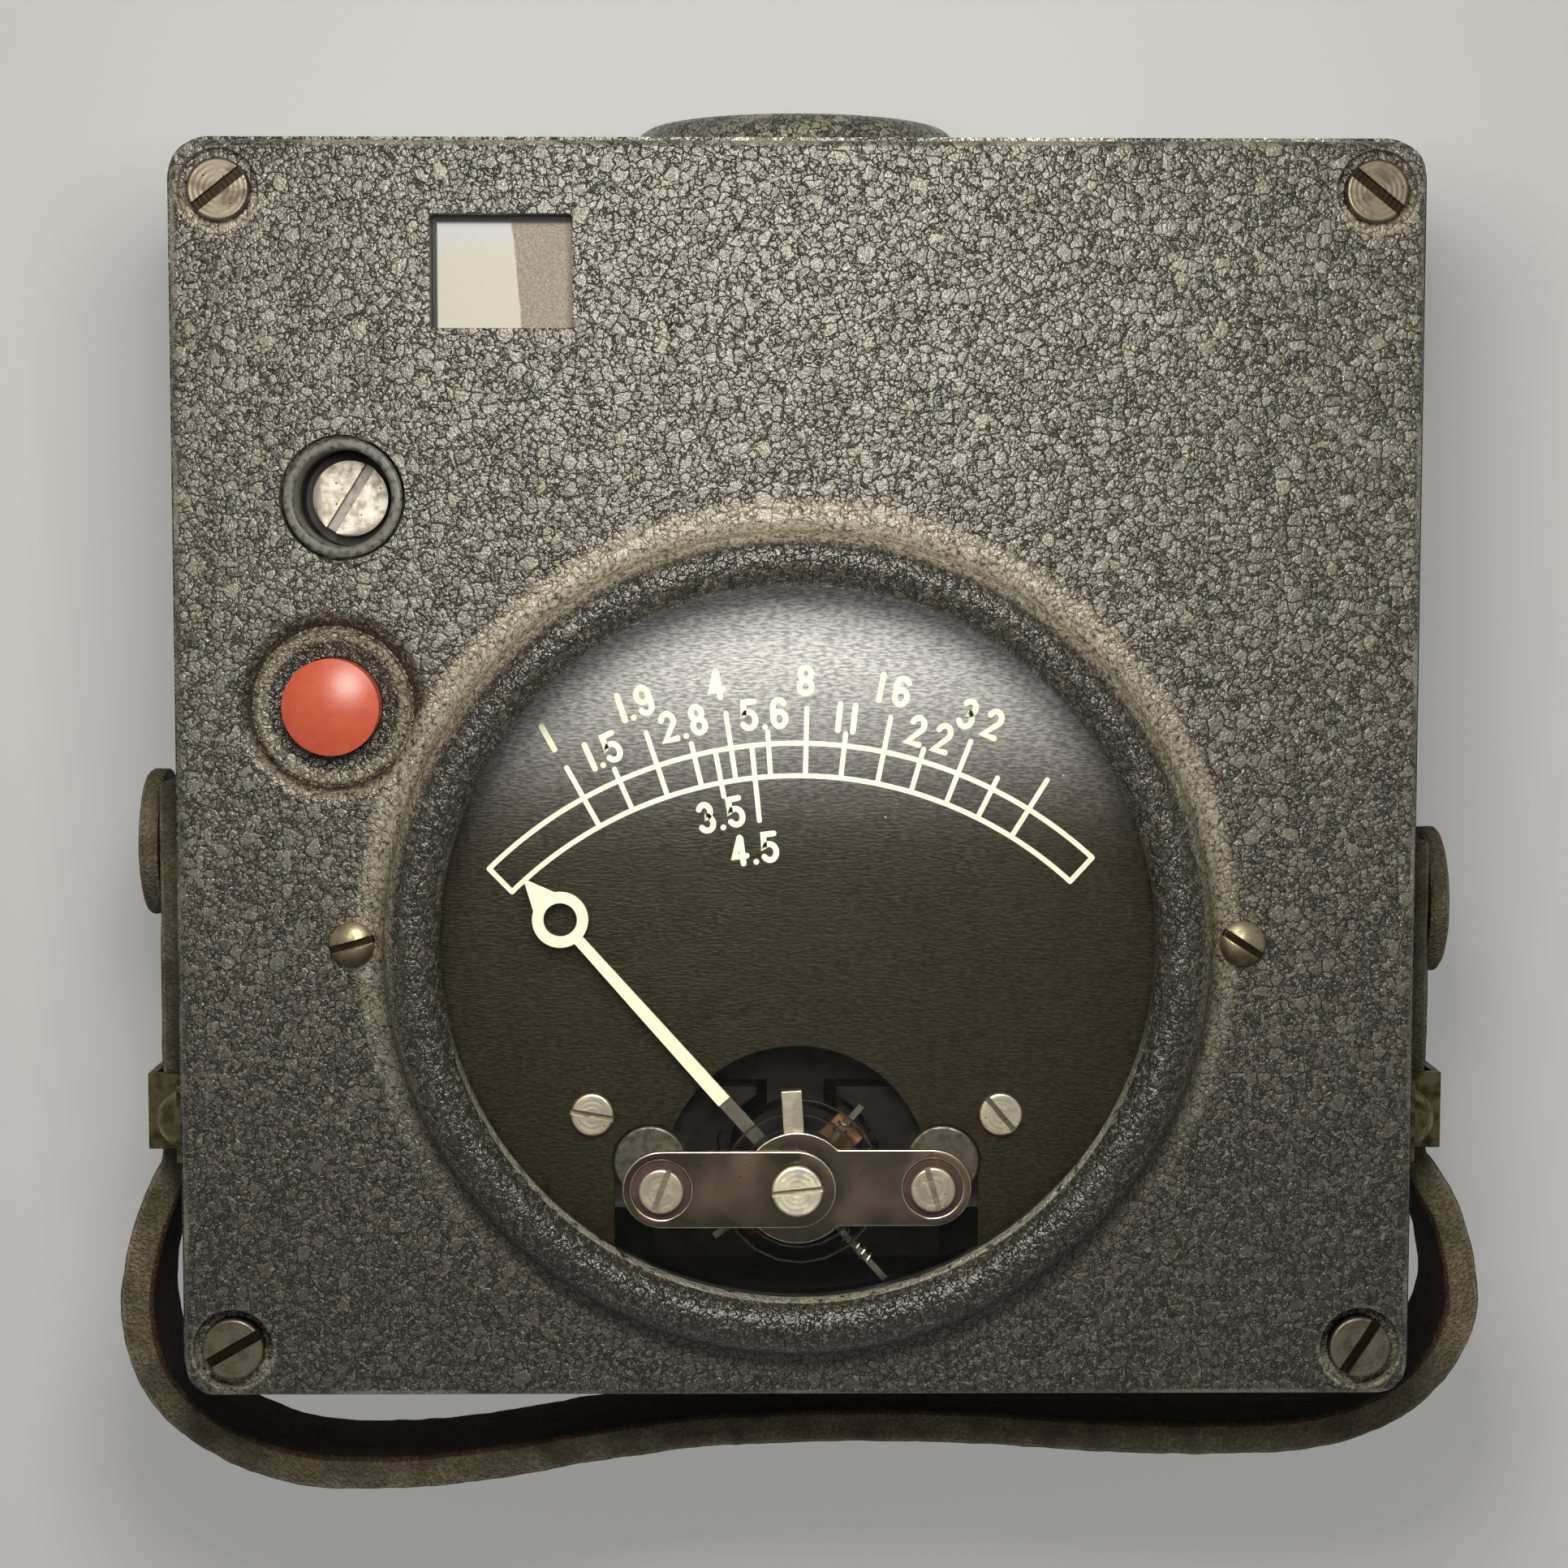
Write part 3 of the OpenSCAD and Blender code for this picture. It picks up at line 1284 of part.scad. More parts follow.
// Band parallel to the mirror's face, from depth a to depth b behind it
module mirror_band(a, b) {
    mid_z = front(mirror_drop);
    m = mirror_half;
    polygon([[window_y - m, mid_z + m - a], [window_y + m, mid_z - m - a],
        [window_y + m, mid_z - m - b], [window_y - m, mid_z + m - b]]);
}

module cheek_outline() {
    top = z_rim - ground_glass_t;
    mid_z = front(mirror_drop);
    m = mirror_half;
    low_y = window_y - m - glass_margin;
    lip = 1;
    polygon([[low_y, top], [inner_y, top], [inner_y, mid_z - m - bracket_back],
        [window_y + m, mid_z - m - bracket_back], [window_y - m, mid_z + m - bracket_back],
        [low_y, top - lip]]);
}

module finder_bracket() {
    flange_margin = 1;
    flange_h = 2 * (lens_r + flange_margin);
    color("#7d7a72") difference() {
        union() {
            finder_section(mirror_w + 2 * bracket_t) mirror_band(mirror_back, bracket_back);
            for (x = [-1, 1])
                translate([x * (mirror_w + bracket_t) / 2, 0, 0]) finder_section(bracket_t) cheek_outline();
            translate([window_x - flange_half, inner_y - bracket_t, front(mirror_drop) - flange_h / 2])
                cube([2 * flange_half, bracket_t, flange_h]);
        }
        at_lens() translate([0, 0, -case_wall - bracket_t - over])
            cylinder(r = lens_hole_r, h = bracket_t + 2 * over);
    }
}

module finder_mirror() {
    color("#c9ced2") finder_section(mirror_w - 2 * fit) mirror_band(0, mirror_back);
}

module finder_lens() {
    rim_gap = 0.2;
    color("#bcd0d6", 0.5) at_lens() translate([0, 0, -case_wall]) {
        cylinder(r = lens_r, h = lens_seat - fit);
        translate([0, 0, lens_seat / 2])
            domed_disc(lens_hole_r - rim_gap, lens_seat / 2 + lens_crown, lens_crown);
    }
}

module at_cell(y) { translate([0, y, hood_z]) rotate([-90, 0, 0]) children(); }

module cell_window() {
    color("#cfd8d8", 0.4) at_cell(cell_face_y - cell_window_t) cylinder(r = cell_r, h = cell_window_t);
}

module photo_cell() {
    color("#3d3a44") at_cell(cell_back_y) cylinder(r = cell_r, h = cell_t);
}

module cell_spring() {
    edge_gap = 0.4;
    ring_w = 3.6;
    color("#c08a3e") at_cell(cell_back_y - cell_spring_t) difference() {
        cylinder(r = cell_r - edge_gap, h = cell_spring_t);
        translate([0, 0, -over]) cylinder(r = cell_r - edge_gap - ring_w, h = cell_spring_t + 2 * over);
    }
}

module cell_cup() {
    bottom_y = cell_back_y - cell_spring_t - cell_cup_floor;
    lead_hole_r = 2;
    color("#4a2c1d") difference() {
        union() {
            at_cell(bottom_y) cylinder(r = cell_cup_r, h = inner_y - bottom_y);
            for (x = [-1, 1])
                at_cell(inner_y - cell_ear_t) {
                    translate([x * cell_ear_x, 0, 0]) cylinder(r = cell_ear_r, h = cell_ear_t);
                    translate([x * cell_cup_r - cell_ear_lap, -cell_ear_r, 0])
                        cube([2 * cell_ear_lap, 2 * cell_ear_r, cell_ear_t]);
                }
        }
        at_cell(bottom_y + cell_cup_floor) cylinder(r = cell_r + cell_gap, h = inner_y);
        at_cell(bottom_y - over) cylinder(r = lead_hole_r, h = cell_cup_floor + 2 * over);
        for (x = [-1, 1])
            at_cell(inner_y - cell_ear_t - over) translate([x * cell_ear_x, 0, 0])
                cylinder(r = small_screw_r + fit, h = cell_ear_t + 2 * over);
    }
}

module at_battery(y) { translate([battery_x, y, battery_z]) rotate([-90, 0, 0]) children(); }

module dry_cell() {
    color("#8c7a5a") {
        at_battery(battery_y) cylinder(r = battery_r, h = battery_l);
        at_battery(battery_y + battery_l - over) cylinder(r = cap_r, h = cap_l + over);
    }
}

// Spring clip open at the top, on a foot that lies on the case's back
module battery_clip() {
    length = 14;
    mid = battery_y + battery_l / 2;
    open_angle = 110;
    foot_w = 10;
    color("#b9b4a8") difference() {
        union() {
            at_battery(mid - length / 2) rotate(open_angle / 2 - 90)
                rotate_extrude(angle = 360 - open_angle)
                    translate([battery_r + fit, 0]) square([clip_t, length]);
            translate([battery_x - foot_w / 2, mid - length / 2, case_wall]) cube([foot_w, length, clip_t]);
        }
        at_battery(mid - length) cylinder(r = battery_r + fit, h = 2 * length);
    }
}

module battery_contacts() {
    strip_w = 8;
    foot = 4;
    tall = battery_z + cap_r - case_wall;
    cap_y = battery_y + battery_l + cap_l;
    color("#c08a3e") translate([battery_x - strip_w / 2, 0, case_wall]) {
        translate([0, battery_y - clip_t, 0]) cube([strip_w, clip_t, tall]);
        translate([0, battery_y - foot, 0]) cube([strip_w, foot, clip_t]);
        translate([0, cap_y, 0]) cube([strip_w, clip_t, tall]);
        translate([0, cap_y - foot, 0]) cube([strip_w, foot + clip_t, clip_t]);
    }
}

module strap() {
    color("#1f1a17") translate([0, 0, strap_z - strap_w / 2]) linear_extrude(strap_w)
        polygon(band(smooth(strap_route, 4), strap_t / 2));
}

module strap_stops() {
    edge_r = 0.5;
    color("#1b1715") for (s = [[-1, stop_left_y], [1, stop_right_y]])
        translate([s[0] * stop_x, s[1], strap_z]) rotate([0, s[0] * 90, 0])
            soft_disc(stop_r, stop_t, edge_r);
}

// Hat section that bridges the strap, with an ear on each side of it
module keeper_section() {
    h = keeper_half;
    t = keeper_t;
    roof = keeper_roof;
    translate([0, h]) square([t, t + keeper_ear]);
    translate([0, -h - t - keeper_ear]) square([t, t + keeper_ear]);
    translate([0, h]) square([roof + t, t]);
    translate([0, -h - t]) square([roof + t, t]);
    translate([roof, -h - t]) square([t, 2 * (h + t)]);
}

module at_rivets() {
    both_sides() for (z = [-1, 1])
        translate([side_x, keeper_y, strap_z + z * rivet_z]) rotate([0, 90, 0]) children();
}

module strap_keepers() {
    color("#6f685c") difference() {
        both_sides() translate([side_x, keeper_y + keeper_l / 2, strap_z]) rotate([90, 0, 0])
            linear_extrude(keeper_l) keeper_section();
        at_rivets() translate([0, 0, -over]) cylinder(r = rivet_r + fit, h = keeper_t + 2 * over);
    }
}

module keeper_rivets() {
    edge_h = 0.2;
    color("#77705f") at_rivets() {
        translate([0, 0, keeper_t]) domed_disc(rivet_head_r, rivet_head_h, rivet_head_h - edge_h);
        translate([0, 0, -case_wall - rivet_tail_h])
            cylinder(r = rivet_r, h = case_wall + rivet_tail_h + keeper_t + edge_h);
        translate([0, 0, -case_wall - rivet_tail_h]) cylinder(r = rivet_r + rivet_tail_w, h = rivet_tail_h);
    }
}

case();
front_panel();
panel_screws();
meter_glass();
glass_spacer();
meter_cup();
meter_screws();
dial_plate();
dial_pillars();
dial_screws();
magnet();
pole_pieces();
core();
core_bracket();
bridge_posts();
upper_bridge();
bridge_strap();
fibre_bushes();
bridge_screws();
upper_jewel_screw();
zero_lever();
upper_hairspring();
lower_posts();
lower_bridge();
lower_jewel_screw();
lower_hairspring();
meter_terminals();
inner_screws();
moving_coil();
coil_staffs();
balance_cross();
balance_coils();
pointer();
push_button();
button_spring();
contact_disc();
switch_plate();
switch_contacts();
adjuster_bush();
bush_nut();
adjuster_shaft();
rheostat_case();
rheostat_winding();
rheostat_wiper();
finder_glass();
finder_bracket();
finder_mirror();
finder_lens();
cell_window();
photo_cell();
cell_cup();
cell_spring();
dry_cell();
battery_clip();
battery_contacts();
strap();
strap_stops();
strap_keepers();
keeper_rivets();
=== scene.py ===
"""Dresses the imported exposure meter: finishes, dial print, leather strap, light and camera."""
import json
import math

import bmesh
import bpy
from mathutils import Matrix, Vector, noise


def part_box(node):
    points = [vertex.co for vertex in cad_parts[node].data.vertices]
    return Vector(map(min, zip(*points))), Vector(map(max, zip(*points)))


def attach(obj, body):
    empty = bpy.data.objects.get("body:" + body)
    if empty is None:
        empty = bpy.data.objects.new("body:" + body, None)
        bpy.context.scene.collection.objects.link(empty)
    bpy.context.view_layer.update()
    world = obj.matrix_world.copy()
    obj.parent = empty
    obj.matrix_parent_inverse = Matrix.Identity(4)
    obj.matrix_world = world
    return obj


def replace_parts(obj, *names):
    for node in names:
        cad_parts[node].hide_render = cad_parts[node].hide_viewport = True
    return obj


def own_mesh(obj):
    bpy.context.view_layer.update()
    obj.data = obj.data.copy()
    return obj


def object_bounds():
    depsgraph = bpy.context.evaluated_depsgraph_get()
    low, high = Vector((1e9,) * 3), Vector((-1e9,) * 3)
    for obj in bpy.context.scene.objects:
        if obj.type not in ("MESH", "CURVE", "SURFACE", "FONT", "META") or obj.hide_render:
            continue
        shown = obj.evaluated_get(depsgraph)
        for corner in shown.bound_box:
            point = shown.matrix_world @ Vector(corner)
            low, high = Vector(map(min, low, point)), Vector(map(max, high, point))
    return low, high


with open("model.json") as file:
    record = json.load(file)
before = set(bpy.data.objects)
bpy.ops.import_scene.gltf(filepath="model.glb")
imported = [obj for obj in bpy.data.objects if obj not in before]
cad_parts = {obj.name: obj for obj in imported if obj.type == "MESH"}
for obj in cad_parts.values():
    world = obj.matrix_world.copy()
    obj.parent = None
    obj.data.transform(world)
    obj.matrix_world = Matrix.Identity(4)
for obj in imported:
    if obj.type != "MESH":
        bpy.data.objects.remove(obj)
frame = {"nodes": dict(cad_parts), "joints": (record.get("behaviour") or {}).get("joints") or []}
cad_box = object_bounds()
nodes = frame["nodes"]
MM = 0.001


def top_of(node):
    """Height of a node's highest point, in millimetres."""
    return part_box(node)[1].z / MM


# Camera and light

PHOTO_SIZE = 1932
FOCAL_PIXELS = 3900
SENSOR = 36.0
NEAREST = 0.01
CAMERA_PLACE = Vector((-3.984, 20.657, 304.328)) * MM
CAMERA_TILT = (4.587, 0.606, 0.003)
LAMP_PLACE = Vector((-7, 62, 175)) * MM
LAMP_TARGET = Vector((0, 5, 30)) * MM
LAMP_SIZE = 60 * MM
LAMP_WATTS = 0.2
LAMP_COLOUR = (1.0, 0.965, 0.89)
WORLD_COLOUR = (1.0, 0.975, 0.93, 1.0)
WORLD_LEVEL = 0.12
WORLD_SHOWN = 0.3


def make_camera():
    """The camera at the photograph's viewing angle."""
    data = bpy.data.cameras.new("camera")
    data.sensor_width = SENSOR
    data.lens = SENSOR * FOCAL_PIXELS / PHOTO_SIZE
    data.clip_start = NEAREST
    camera = bpy.data.objects.new("camera", data)
    turn = Matrix.Identity(3)
    for angle, axis in zip(CAMERA_TILT, "XYZ"):
        turn = Matrix.Rotation(math.radians(angle), 3, axis) @ turn
    camera.matrix_world = Matrix.Translation(CAMERA_PLACE) @ turn.transposed().to_4x4()
    bpy.context.scene.collection.objects.link(camera)
    bpy.context.scene.camera = camera


def make_lamp():
    """A soft square lamp above the upper part of the panel."""
    data = bpy.data.lights.new("key", "AREA")
    data.size = LAMP_SIZE
    data.energy = LAMP_WATTS
    data.color = LAMP_COLOUR
    lamp = bpy.data.objects.new("key", data)
    lamp.location = LAMP_PLACE
    lamp.rotation_euler = (LAMP_TARGET - LAMP_PLACE).to_track_quat("-Z", "Y").to_euler()
    lamp.visible_camera = False
    bpy.context.scene.collection.objects.link(lamp)


def shown_rays(tree):
    """1 for the camera's rays and for those that metal and glass send out, 0 for light on the object."""
    path = tree.nodes.new("ShaderNodeLightPath")
    seen = path.outputs["Is Camera Ray"]
    for ray in ("Is Glossy Ray", "Is Transmission Ray"):
        either = tree.nodes.new("ShaderNodeMath")
        either.operation = "MAXIMUM"
        tree.links.new(seen, either.inputs[0])
        tree.links.new(path.outputs[ray], either.inputs[1])
        seen = either.outputs[0]
    return seen


def make_world():
    """Even soft light; the camera, metal and glass see a brighter level of it."""
    world = bpy.data.worlds.new("studio")
    bpy.context.scene.world = world
    world.use_nodes = True
    tree = world.node_tree
    strength = tree.nodes.new("ShaderNodeMapRange")
    strength.inputs["To Min"].default_value = WORLD_LEVEL
    strength.inputs["To Max"].default_value = WORLD_SHOWN
    tree.links.new(shown_rays(tree), strength.inputs["Value"])
    background = tree.nodes["Background"]
    background.inputs["Color"].default_value = WORLD_COLOUR
    tree.links.new(strength.outputs[0], background.inputs["Strength"])


# Materials

# Numbers of the Mix node's sockets, whose names serve colours and values alike
COLOUR_A, COLOUR_B, COLOUR_OUT = 6, 7, 2
VALUE_A, VALUE_B, VALUE_OUT = 2, 3, 0


class Look:
    """A material in the making: its Principled shader, and short calls that add nodes before it."""

    def __init__(self, name, **sockets):
        self.material = bpy.data.materials.new(name)
        self.material.use_nodes = True
        self.tree = self.material.node_tree
        self.shader = self.tree.nodes["Principled BSDF"]
        place = self.add("VectorMath", operation="SCALE")
        place.inputs["Scale"].default_value = 1 / MM
        self.put(place.inputs[0], self.add("TexCoord").outputs["Object"])
        self.place = place.outputs[0]
        self.set(**sockets)

    def put(self, socket, value):
        """Links another node's output to a socket, or sets the socket to a constant."""
        if isinstance(value, bpy.types.NodeSocket):
            self.tree.links.new(value, socket)
        elif socket.type == "RGBA":
            socket.default_value = (*value, 1.0)
        else:
            socket.default_value = value

    def set(self, **sockets):
        """Sets or links the shader's sockets, with _ for a space in their names."""
        for name, value in sockets.items():
            self.put(self.shader.inputs[name.replace("_", " ")], value)

    def add(self, kind, **settings):
        """A new node of this kind."""
        node = self.tree.nodes.new("ShaderNode" + kind)
        for name, value in settings.items():
            setattr(node, name, value)
        return node

    def calc(self, operation, a, b=0.0):
        """The result of a Math node such as SINE or SIGN."""
        node = self.add("Math", operation=operation)
        self.put(node.inputs[0], a)
        self.put(node.inputs[1], b)
        return node.outputs[0]

    def plus(self, a, b):
        """a + b."""
        return self.calc("ADD", a, b)

    def less(self, a, b):
        """a - b."""
        return self.calc("SUBTRACT", a, b)

    def times(self, a, b):
        """a * b."""
        return self.calc("MULTIPLY", a, b)

    def most(self, a, b):
        """The larger of a and b."""
        return self.calc("MAXIMUM", a, b)

    def axis(self, index, source=None):
        """One coordinate of the place on the object, in millimetres."""
        split = self.add("SeparateXYZ")
        self.put(split.inputs[0], source or self.place)
        return split.outputs[index]

    def off(self, index, middle):
        """How far the place lies beyond middle along one axis."""
        return self.less(self.axis(index), middle)

    def off_folded(self, index, middle):
        """How far the place lies beyond middle or its mirror image, outwards along one axis."""
        return self.less(self.calc("ABSOLUTE", self.axis(index)), middle)

    def length(self, across, along):
        """Length of a line from its two sides."""
        return self.calc("SQRT", self.plus(self.times(across, across), self.times(along, along)))

    def away(self, x, y):
        """Distance from the upright line through (x, y), in millimetres."""
        return self.length(self.off(0, x), self.off(1, y))

    def away_folded(self, x, y):
        """Distance from (x, y) or from its mirror images across the axes."""
        return self.length(self.off_folded(0, x), self.off_folded(1, y))

    def right_side(self):
        """0 left of the middle, 1 right of it."""
        return self.span(self.axis(0), -0.1, 0.1)

    def slot_dirt(self, low, high, drop):
        """1 at the bottom of a slot, 0 above it; right of the middle the slot is lower by drop."""
        return self.span(self.plus(self.axis(2), self.times(self.right_side(), drop)), high, low)

    def span(self, value, low, high):
        """Eased step from 0 at low to 1 at high."""
        node = self.add("MapRange", interpolation_type="SMOOTHSTEP")
        self.put(node.inputs["Value"], value)
        node.inputs["From Min"].default_value = low
        node.inputs["From Max"].default_value = high
        return node.outputs[0]

    def range(self, value, low, high):
        """A 0 to 1 value put on a straight range from low to high."""
        node = self.add("MapRange")
        self.put(node.inputs["Value"], value)
        node.inputs["To Min"].default_value = low
        node.inputs["To Max"].default_value = high
        return node.outputs[0]

    def stretched(self, x, y, z):
        """The place with its axes scaled."""
        node = self.add("VectorMath", operation="MULTIPLY")
        self.put(node.inputs[0], self.place)
        node.inputs[1].default_value = (x, y, z)
        return node.outputs[0]

    def warped(self, size, amount):
        """The place pushed about by noise of this size, by up to amount millimetres."""
        cloud = self.add("TexNoise")
        self.put(cloud.inputs["Vector"], self.place)
        cloud.inputs["Scale"].default_value = 1 / size
        push = self.add("VectorMath", operation="MULTIPLY_ADD")
        self.put(push.inputs[0], cloud.outputs["Color"])
        push.inputs[1].default_value = (2 * amount,) * 3
        self.put(push.inputs[2], self.place)
        return push.outputs[0]

    def noise(self, size, source=None, detail=3.0):
        """Cloudy noise from 0 to 1, with forms about size millimetres across."""
        node = self.add("TexNoise")
        self.put(node.inputs["Vector"], source or self.place)
        node.inputs["Scale"].default_value = 1 / size
        node.inputs["Detail"].default_value = detail
        return node.outputs["Fac"]

    def cells(self, size, source=None, feature="DISTANCE_TO_EDGE", output="Distance"):
        """Irregular cells about size millimetres across."""
        node = self.add("TexVoronoi", feature=feature)
        self.put(node.inputs["Vector"], source or self.place)
        node.inputs["Scale"].default_value = 1 / size
        return node.outputs[output]

    def mix(self, share, a, b):
        """Colour a where share is 0, b where it is 1."""
        node = self.add("Mix", data_type="RGBA")
        self.put(node.inputs[0], share)
        self.put(node.inputs[COLOUR_A], a)
        self.put(node.inputs[COLOUR_B], b)
        return node.outputs[COLOUR_OUT]

    def either(self, share, a, b):
        """Value a where share is 0, b where it is 1."""
        node = self.add("Mix")
        self.put(node.inputs[0], share)
        self.put(node.inputs[VALUE_A], a)
        self.put(node.inputs[VALUE_B], b)
        return node.outputs[VALUE_OUT]

    def bump(self, height, depth):
        """Relief from a 0 to 1 height, depth millimetres deep."""
        node = self.add("Bump")
        node.inputs["Distance"].default_value = depth * MM
        self.put(node.inputs["Height"], height)
        return node.outputs["Normal"]

    def specks(self, size, share, radius):
        """1 on small scattered spots, one or none to each cell of this size."""
        near = self.cells(size, feature="F1")
        pick = self.axis(0, self.cells(size, feature="F1", output="Color"))
        spot = self.span(near, radius / size, 0.5 * radius / size)
        return self.times(spot, self.span(pick, 1 - share, 1.001 - share))


def dress(material, *names):
    """Gives CAD nodes this material."""
    for name in names:
        mesh = nodes[name].data
        mesh.materials.clear()
        mesh.materials.append(material)


# Places that the materials follow: middles, and radii, x, y or z where a mask begins and ends

DIAL_CENTRE = (0.0, -14.0)
BEZEL_LIP = (29.9, 30.12)
# Painted highlight on the bezel's inner edge, between these heights
BEZEL_LIP_LIT_Y = (-18.0, -34.0)
# Dust on the bezel's outer slope, with a painted highlight on its crest
BEZEL_DUST_HIGHLIGHT = (34.3, 36.7)
BEZEL_DUST_HIGHLIGHT_Y = (-45.0, 14.0)
BEZEL_DARK = (36.0, 33.8)
BUTTON_CENTRE = (-39.0, 5.9)
DISH_FLOOR = (5.8, 6.4)
DISH_LIP = (7.3, 7.7)
DISH_DARK = (8.4, 7.4)
PANEL_EDGE_Z = (39.0, 39.6)
# Painted shade: the enamel darkens between these heights towards the bottom of the panel
PANEL_SHADE_Y = (22.0, -40.0)
PANEL_SCREW = (47.9, 48.65)
SCREW_RECESS = (2.9, 3.5)
METER_SCREW_RADIUS = 1.9
# Dark lines painted as the shade of wide slots on the screws beside the bezel
METER_SLOT_HALF = 0.35
METER_SLOT_TURNS = (math.radians(15), math.radians(33))
DIAL_SCREW = (17.7, 29.8)
BRIDGE_SCREW = (11.6, 35.4)
JEWEL_SCREW = (0.0, 35.4)
WINDOW_CENTRE = (-24.6, 42.0)
WINDOW_HALF = (5.9, 4.7)
# Where the painted image on the finder's screen turns from bright to dim, and bluish at the top
FIELD_BORDER_X = (-19.35, -19.2)
FIELD_SKY_Y = (42.5, 46.0)
# Painted sheen on the dial, paler towards the top
DIAL_SHEEN_Y = (-12.0, 18.0)
DIAL_SHEEN_EDGE_Y = (-12.0, 13.0)


# Enamel

SMALL_CELL = 0.66
LARGE_CELL = 1.08
ENAMEL_DARK = (0.023, 0.0202, 0.014)
# Pale end of the mottle, partly a painted sheen on the glossy black enamel
ENAMEL_PALE_SHEEN = (0.3, 0.277, 0.216)
# Painted shade towards the bottom of the panel
ENAMEL_LOWER_SHADE = (0.017, 0.0143, 0.0075)
ENAMEL_RING_DARK = (0.021, 0.018, 0.011)
# Pale scuffs, and painted glints on the cells' brims
ENAMEL_SCUFF_GLINT = (0.42, 0.39, 0.305)
# Painted shade in the creases between the cells
ENAMEL_CREASE_SHADE = (0.009, 0.008, 0.0055)
# Pale dust, also painted highlights on the bezel, the dish's lower lip and the screws' recesses
PANEL_DUST_HIGHLIGHT = (0.5, 0.445, 0.325)
# Bare metal, also used as a painted highlight on the bezel's lower inner edge
PANEL_METAL_AND_HIGHLIGHT = (0.62, 0.585, 0.47)
WALL_BLACK = (0.004, 0.0035, 0.0025)


def ring_mask(look, distance, radii, soft):
    """1 between two radii, easing to 0 over soft millimetres outside them."""
    inner, outer = radii
    return look.times(look.span(distance, inner - soft, inner), look.span(distance, outer + soft, outer))


def dish_dust_and_highlight(look):
    """Share of dust round the floor of the button's dish, and of a painted highlight on the lower part of
    its lip, which faces the light.
    """
    away = look.away(*BUTTON_CENTRE)
    lower = look.span(look.off(1, BUTTON_CENTRE[1]), -1.0, -4.0)
    # Painted highlight on the lower lip
    lip = look.times(ring_mask(look, away, DISH_LIP, 0.4), lower)
    return look.times(look.most(ring_mask(look, away, DISH_FLOOR, 0.5), lip), 0.6)


def recess_highlights(look):
    """Share of a painted highlight on the lower side of the corner screws' recesses, which faces the light,
    and a little pale colour all round them.
    """
    screw_y = look.times(look.calc("SIGN", look.axis(1)), PANEL_SCREW[1])
    rise = look.less(look.axis(1), screw_y)
    ring = ring_mask(look, look.away_folded(*PANEL_SCREW), SCREW_RECESS, 0.3)
    # Painted highlight, strongest on the lower side
    return look.times(ring, look.range(look.span(rise, 1.0, -2.0), 0.15, 0.9))


def dust_and_highlights_on_panel(look):
    """Share of pale colour: dust on the bezel's outer slope with a painted highlight high on it, dust and a
    painted highlight in the dish, painted highlights in the recesses.
    """
    slope = ring_mask(look, look.away(*DIAL_CENTRE), BEZEL_DUST_HIGHLIGHT, 0.8)
    # Stronger towards the top: partly a painted highlight
    upper_lit = look.range(look.span(look.axis(1), *BEZEL_DUST_HIGHLIGHT_Y), 0.12, 1.0)
    dust_and_light = look.most(look.times(slope, upper_lit), dish_dust_and_highlight(look))
    dust_and_light = look.most(dust_and_light, recess_highlights(look))
    return look.times(dust_and_light, look.span(look.noise(0.4, detail=5), 0.3, 0.6))


def bezel_and_dish_darkening(look):
    """Share of darker enamel on the bezel and in the button's dish."""
    bezel = look.span(look.away(*DIAL_CENTRE), *BEZEL_DARK)
    dish = look.span(look.away(*BUTTON_CENTRE), *DISH_DARK)
    return look.times(look.most(bezel, dish), 0.85)


def window_walls(look):
    """1 on the walls of the finder's opening, which are made near black."""
    inside = []
    for index, (middle, half) in enumerate(zip(WINDOW_CENTRE, WINDOW_HALF)):
        aside = look.calc("ABSOLUTE", look.off(index, middle))
        inside.append(look.span(aside, half + 0.05, half + 0.02))
    return look.times(*inside)


def worn_panel_edge(look):
    """Share of bare metal along the panel's upper edge."""
    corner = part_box("front_panel")[1] / MM
    edge = look.most(look.off_folded(0, corner.x), look.off_folded(1, corner.y))
    edge = look.times(look.span(edge, -0.6, -0.3), look.span(look.axis(2), *PANEL_EDGE_Z))
    edge = look.times(edge, look.span(look.noise(9.0, detail=9), 0.48, 0.62))
    return look.times(edge, 0.55)


def worn_case_rim(look):
    """Share of bare metal along the case's rim."""
    height = look.off(2, top_of("case"))
    rim = look.times(look.span(height, -0.6, -0.25), look.span(height, 0.3, 0.1))
    rim = look.times(rim, look.span(look.noise(12.0, detail=9), 0.5, 0.66))
    return look.times(rim, 0.6)


def bezel_lip_highlight(look):
    """Share of bare metal on the lower part of the bezel's inner edge, a painted highlight where that edge
    faces the light.
    """
    lip = ring_mask(look, look.away(*DIAL_CENTRE), BEZEL_LIP, 0.08)
    lip = look.times(lip, look.span(look.axis(1), *BEZEL_LIP_LIT_Y))
    return look.times(lip, look.span(look.noise(1.2, detail=5), 0.34, 0.46))


def bare_metal_and_lip_highlight(look):
    """Share of metal worn bare along the panel's edge and the case's rim, and of a painted highlight of bare
    metal on the bezel's lower inner edge.
    """
    return look.most(look.most(worn_panel_edge(look), worn_case_rim(look)), bezel_lip_highlight(look))


def wrinkle_cells(look):
    """Cells of two sizes: distances from their borders and from their middles, and a random shade."""
    moved = look.warped(0.7, 0.45)
    tints = [look.cells(size, moved, "F1", "Color") for size in (SMALL_CELL, LARGE_CELL)]
    large = look.span(look.axis(0, tints[1]), 0.7, 0.71)
    border = look.either(large, look.cells(SMALL_CELL, moved), look.cells(LARGE_CELL, moved))
    middle = look.either(large, look.cells(SMALL_CELL, moved, "F1"), look.cells(LARGE_CELL, moved, "F1"))
    shade = look.either(large, look.axis(0, tints[0]), look.axis(1, tints[1]))
    return border, middle, shade


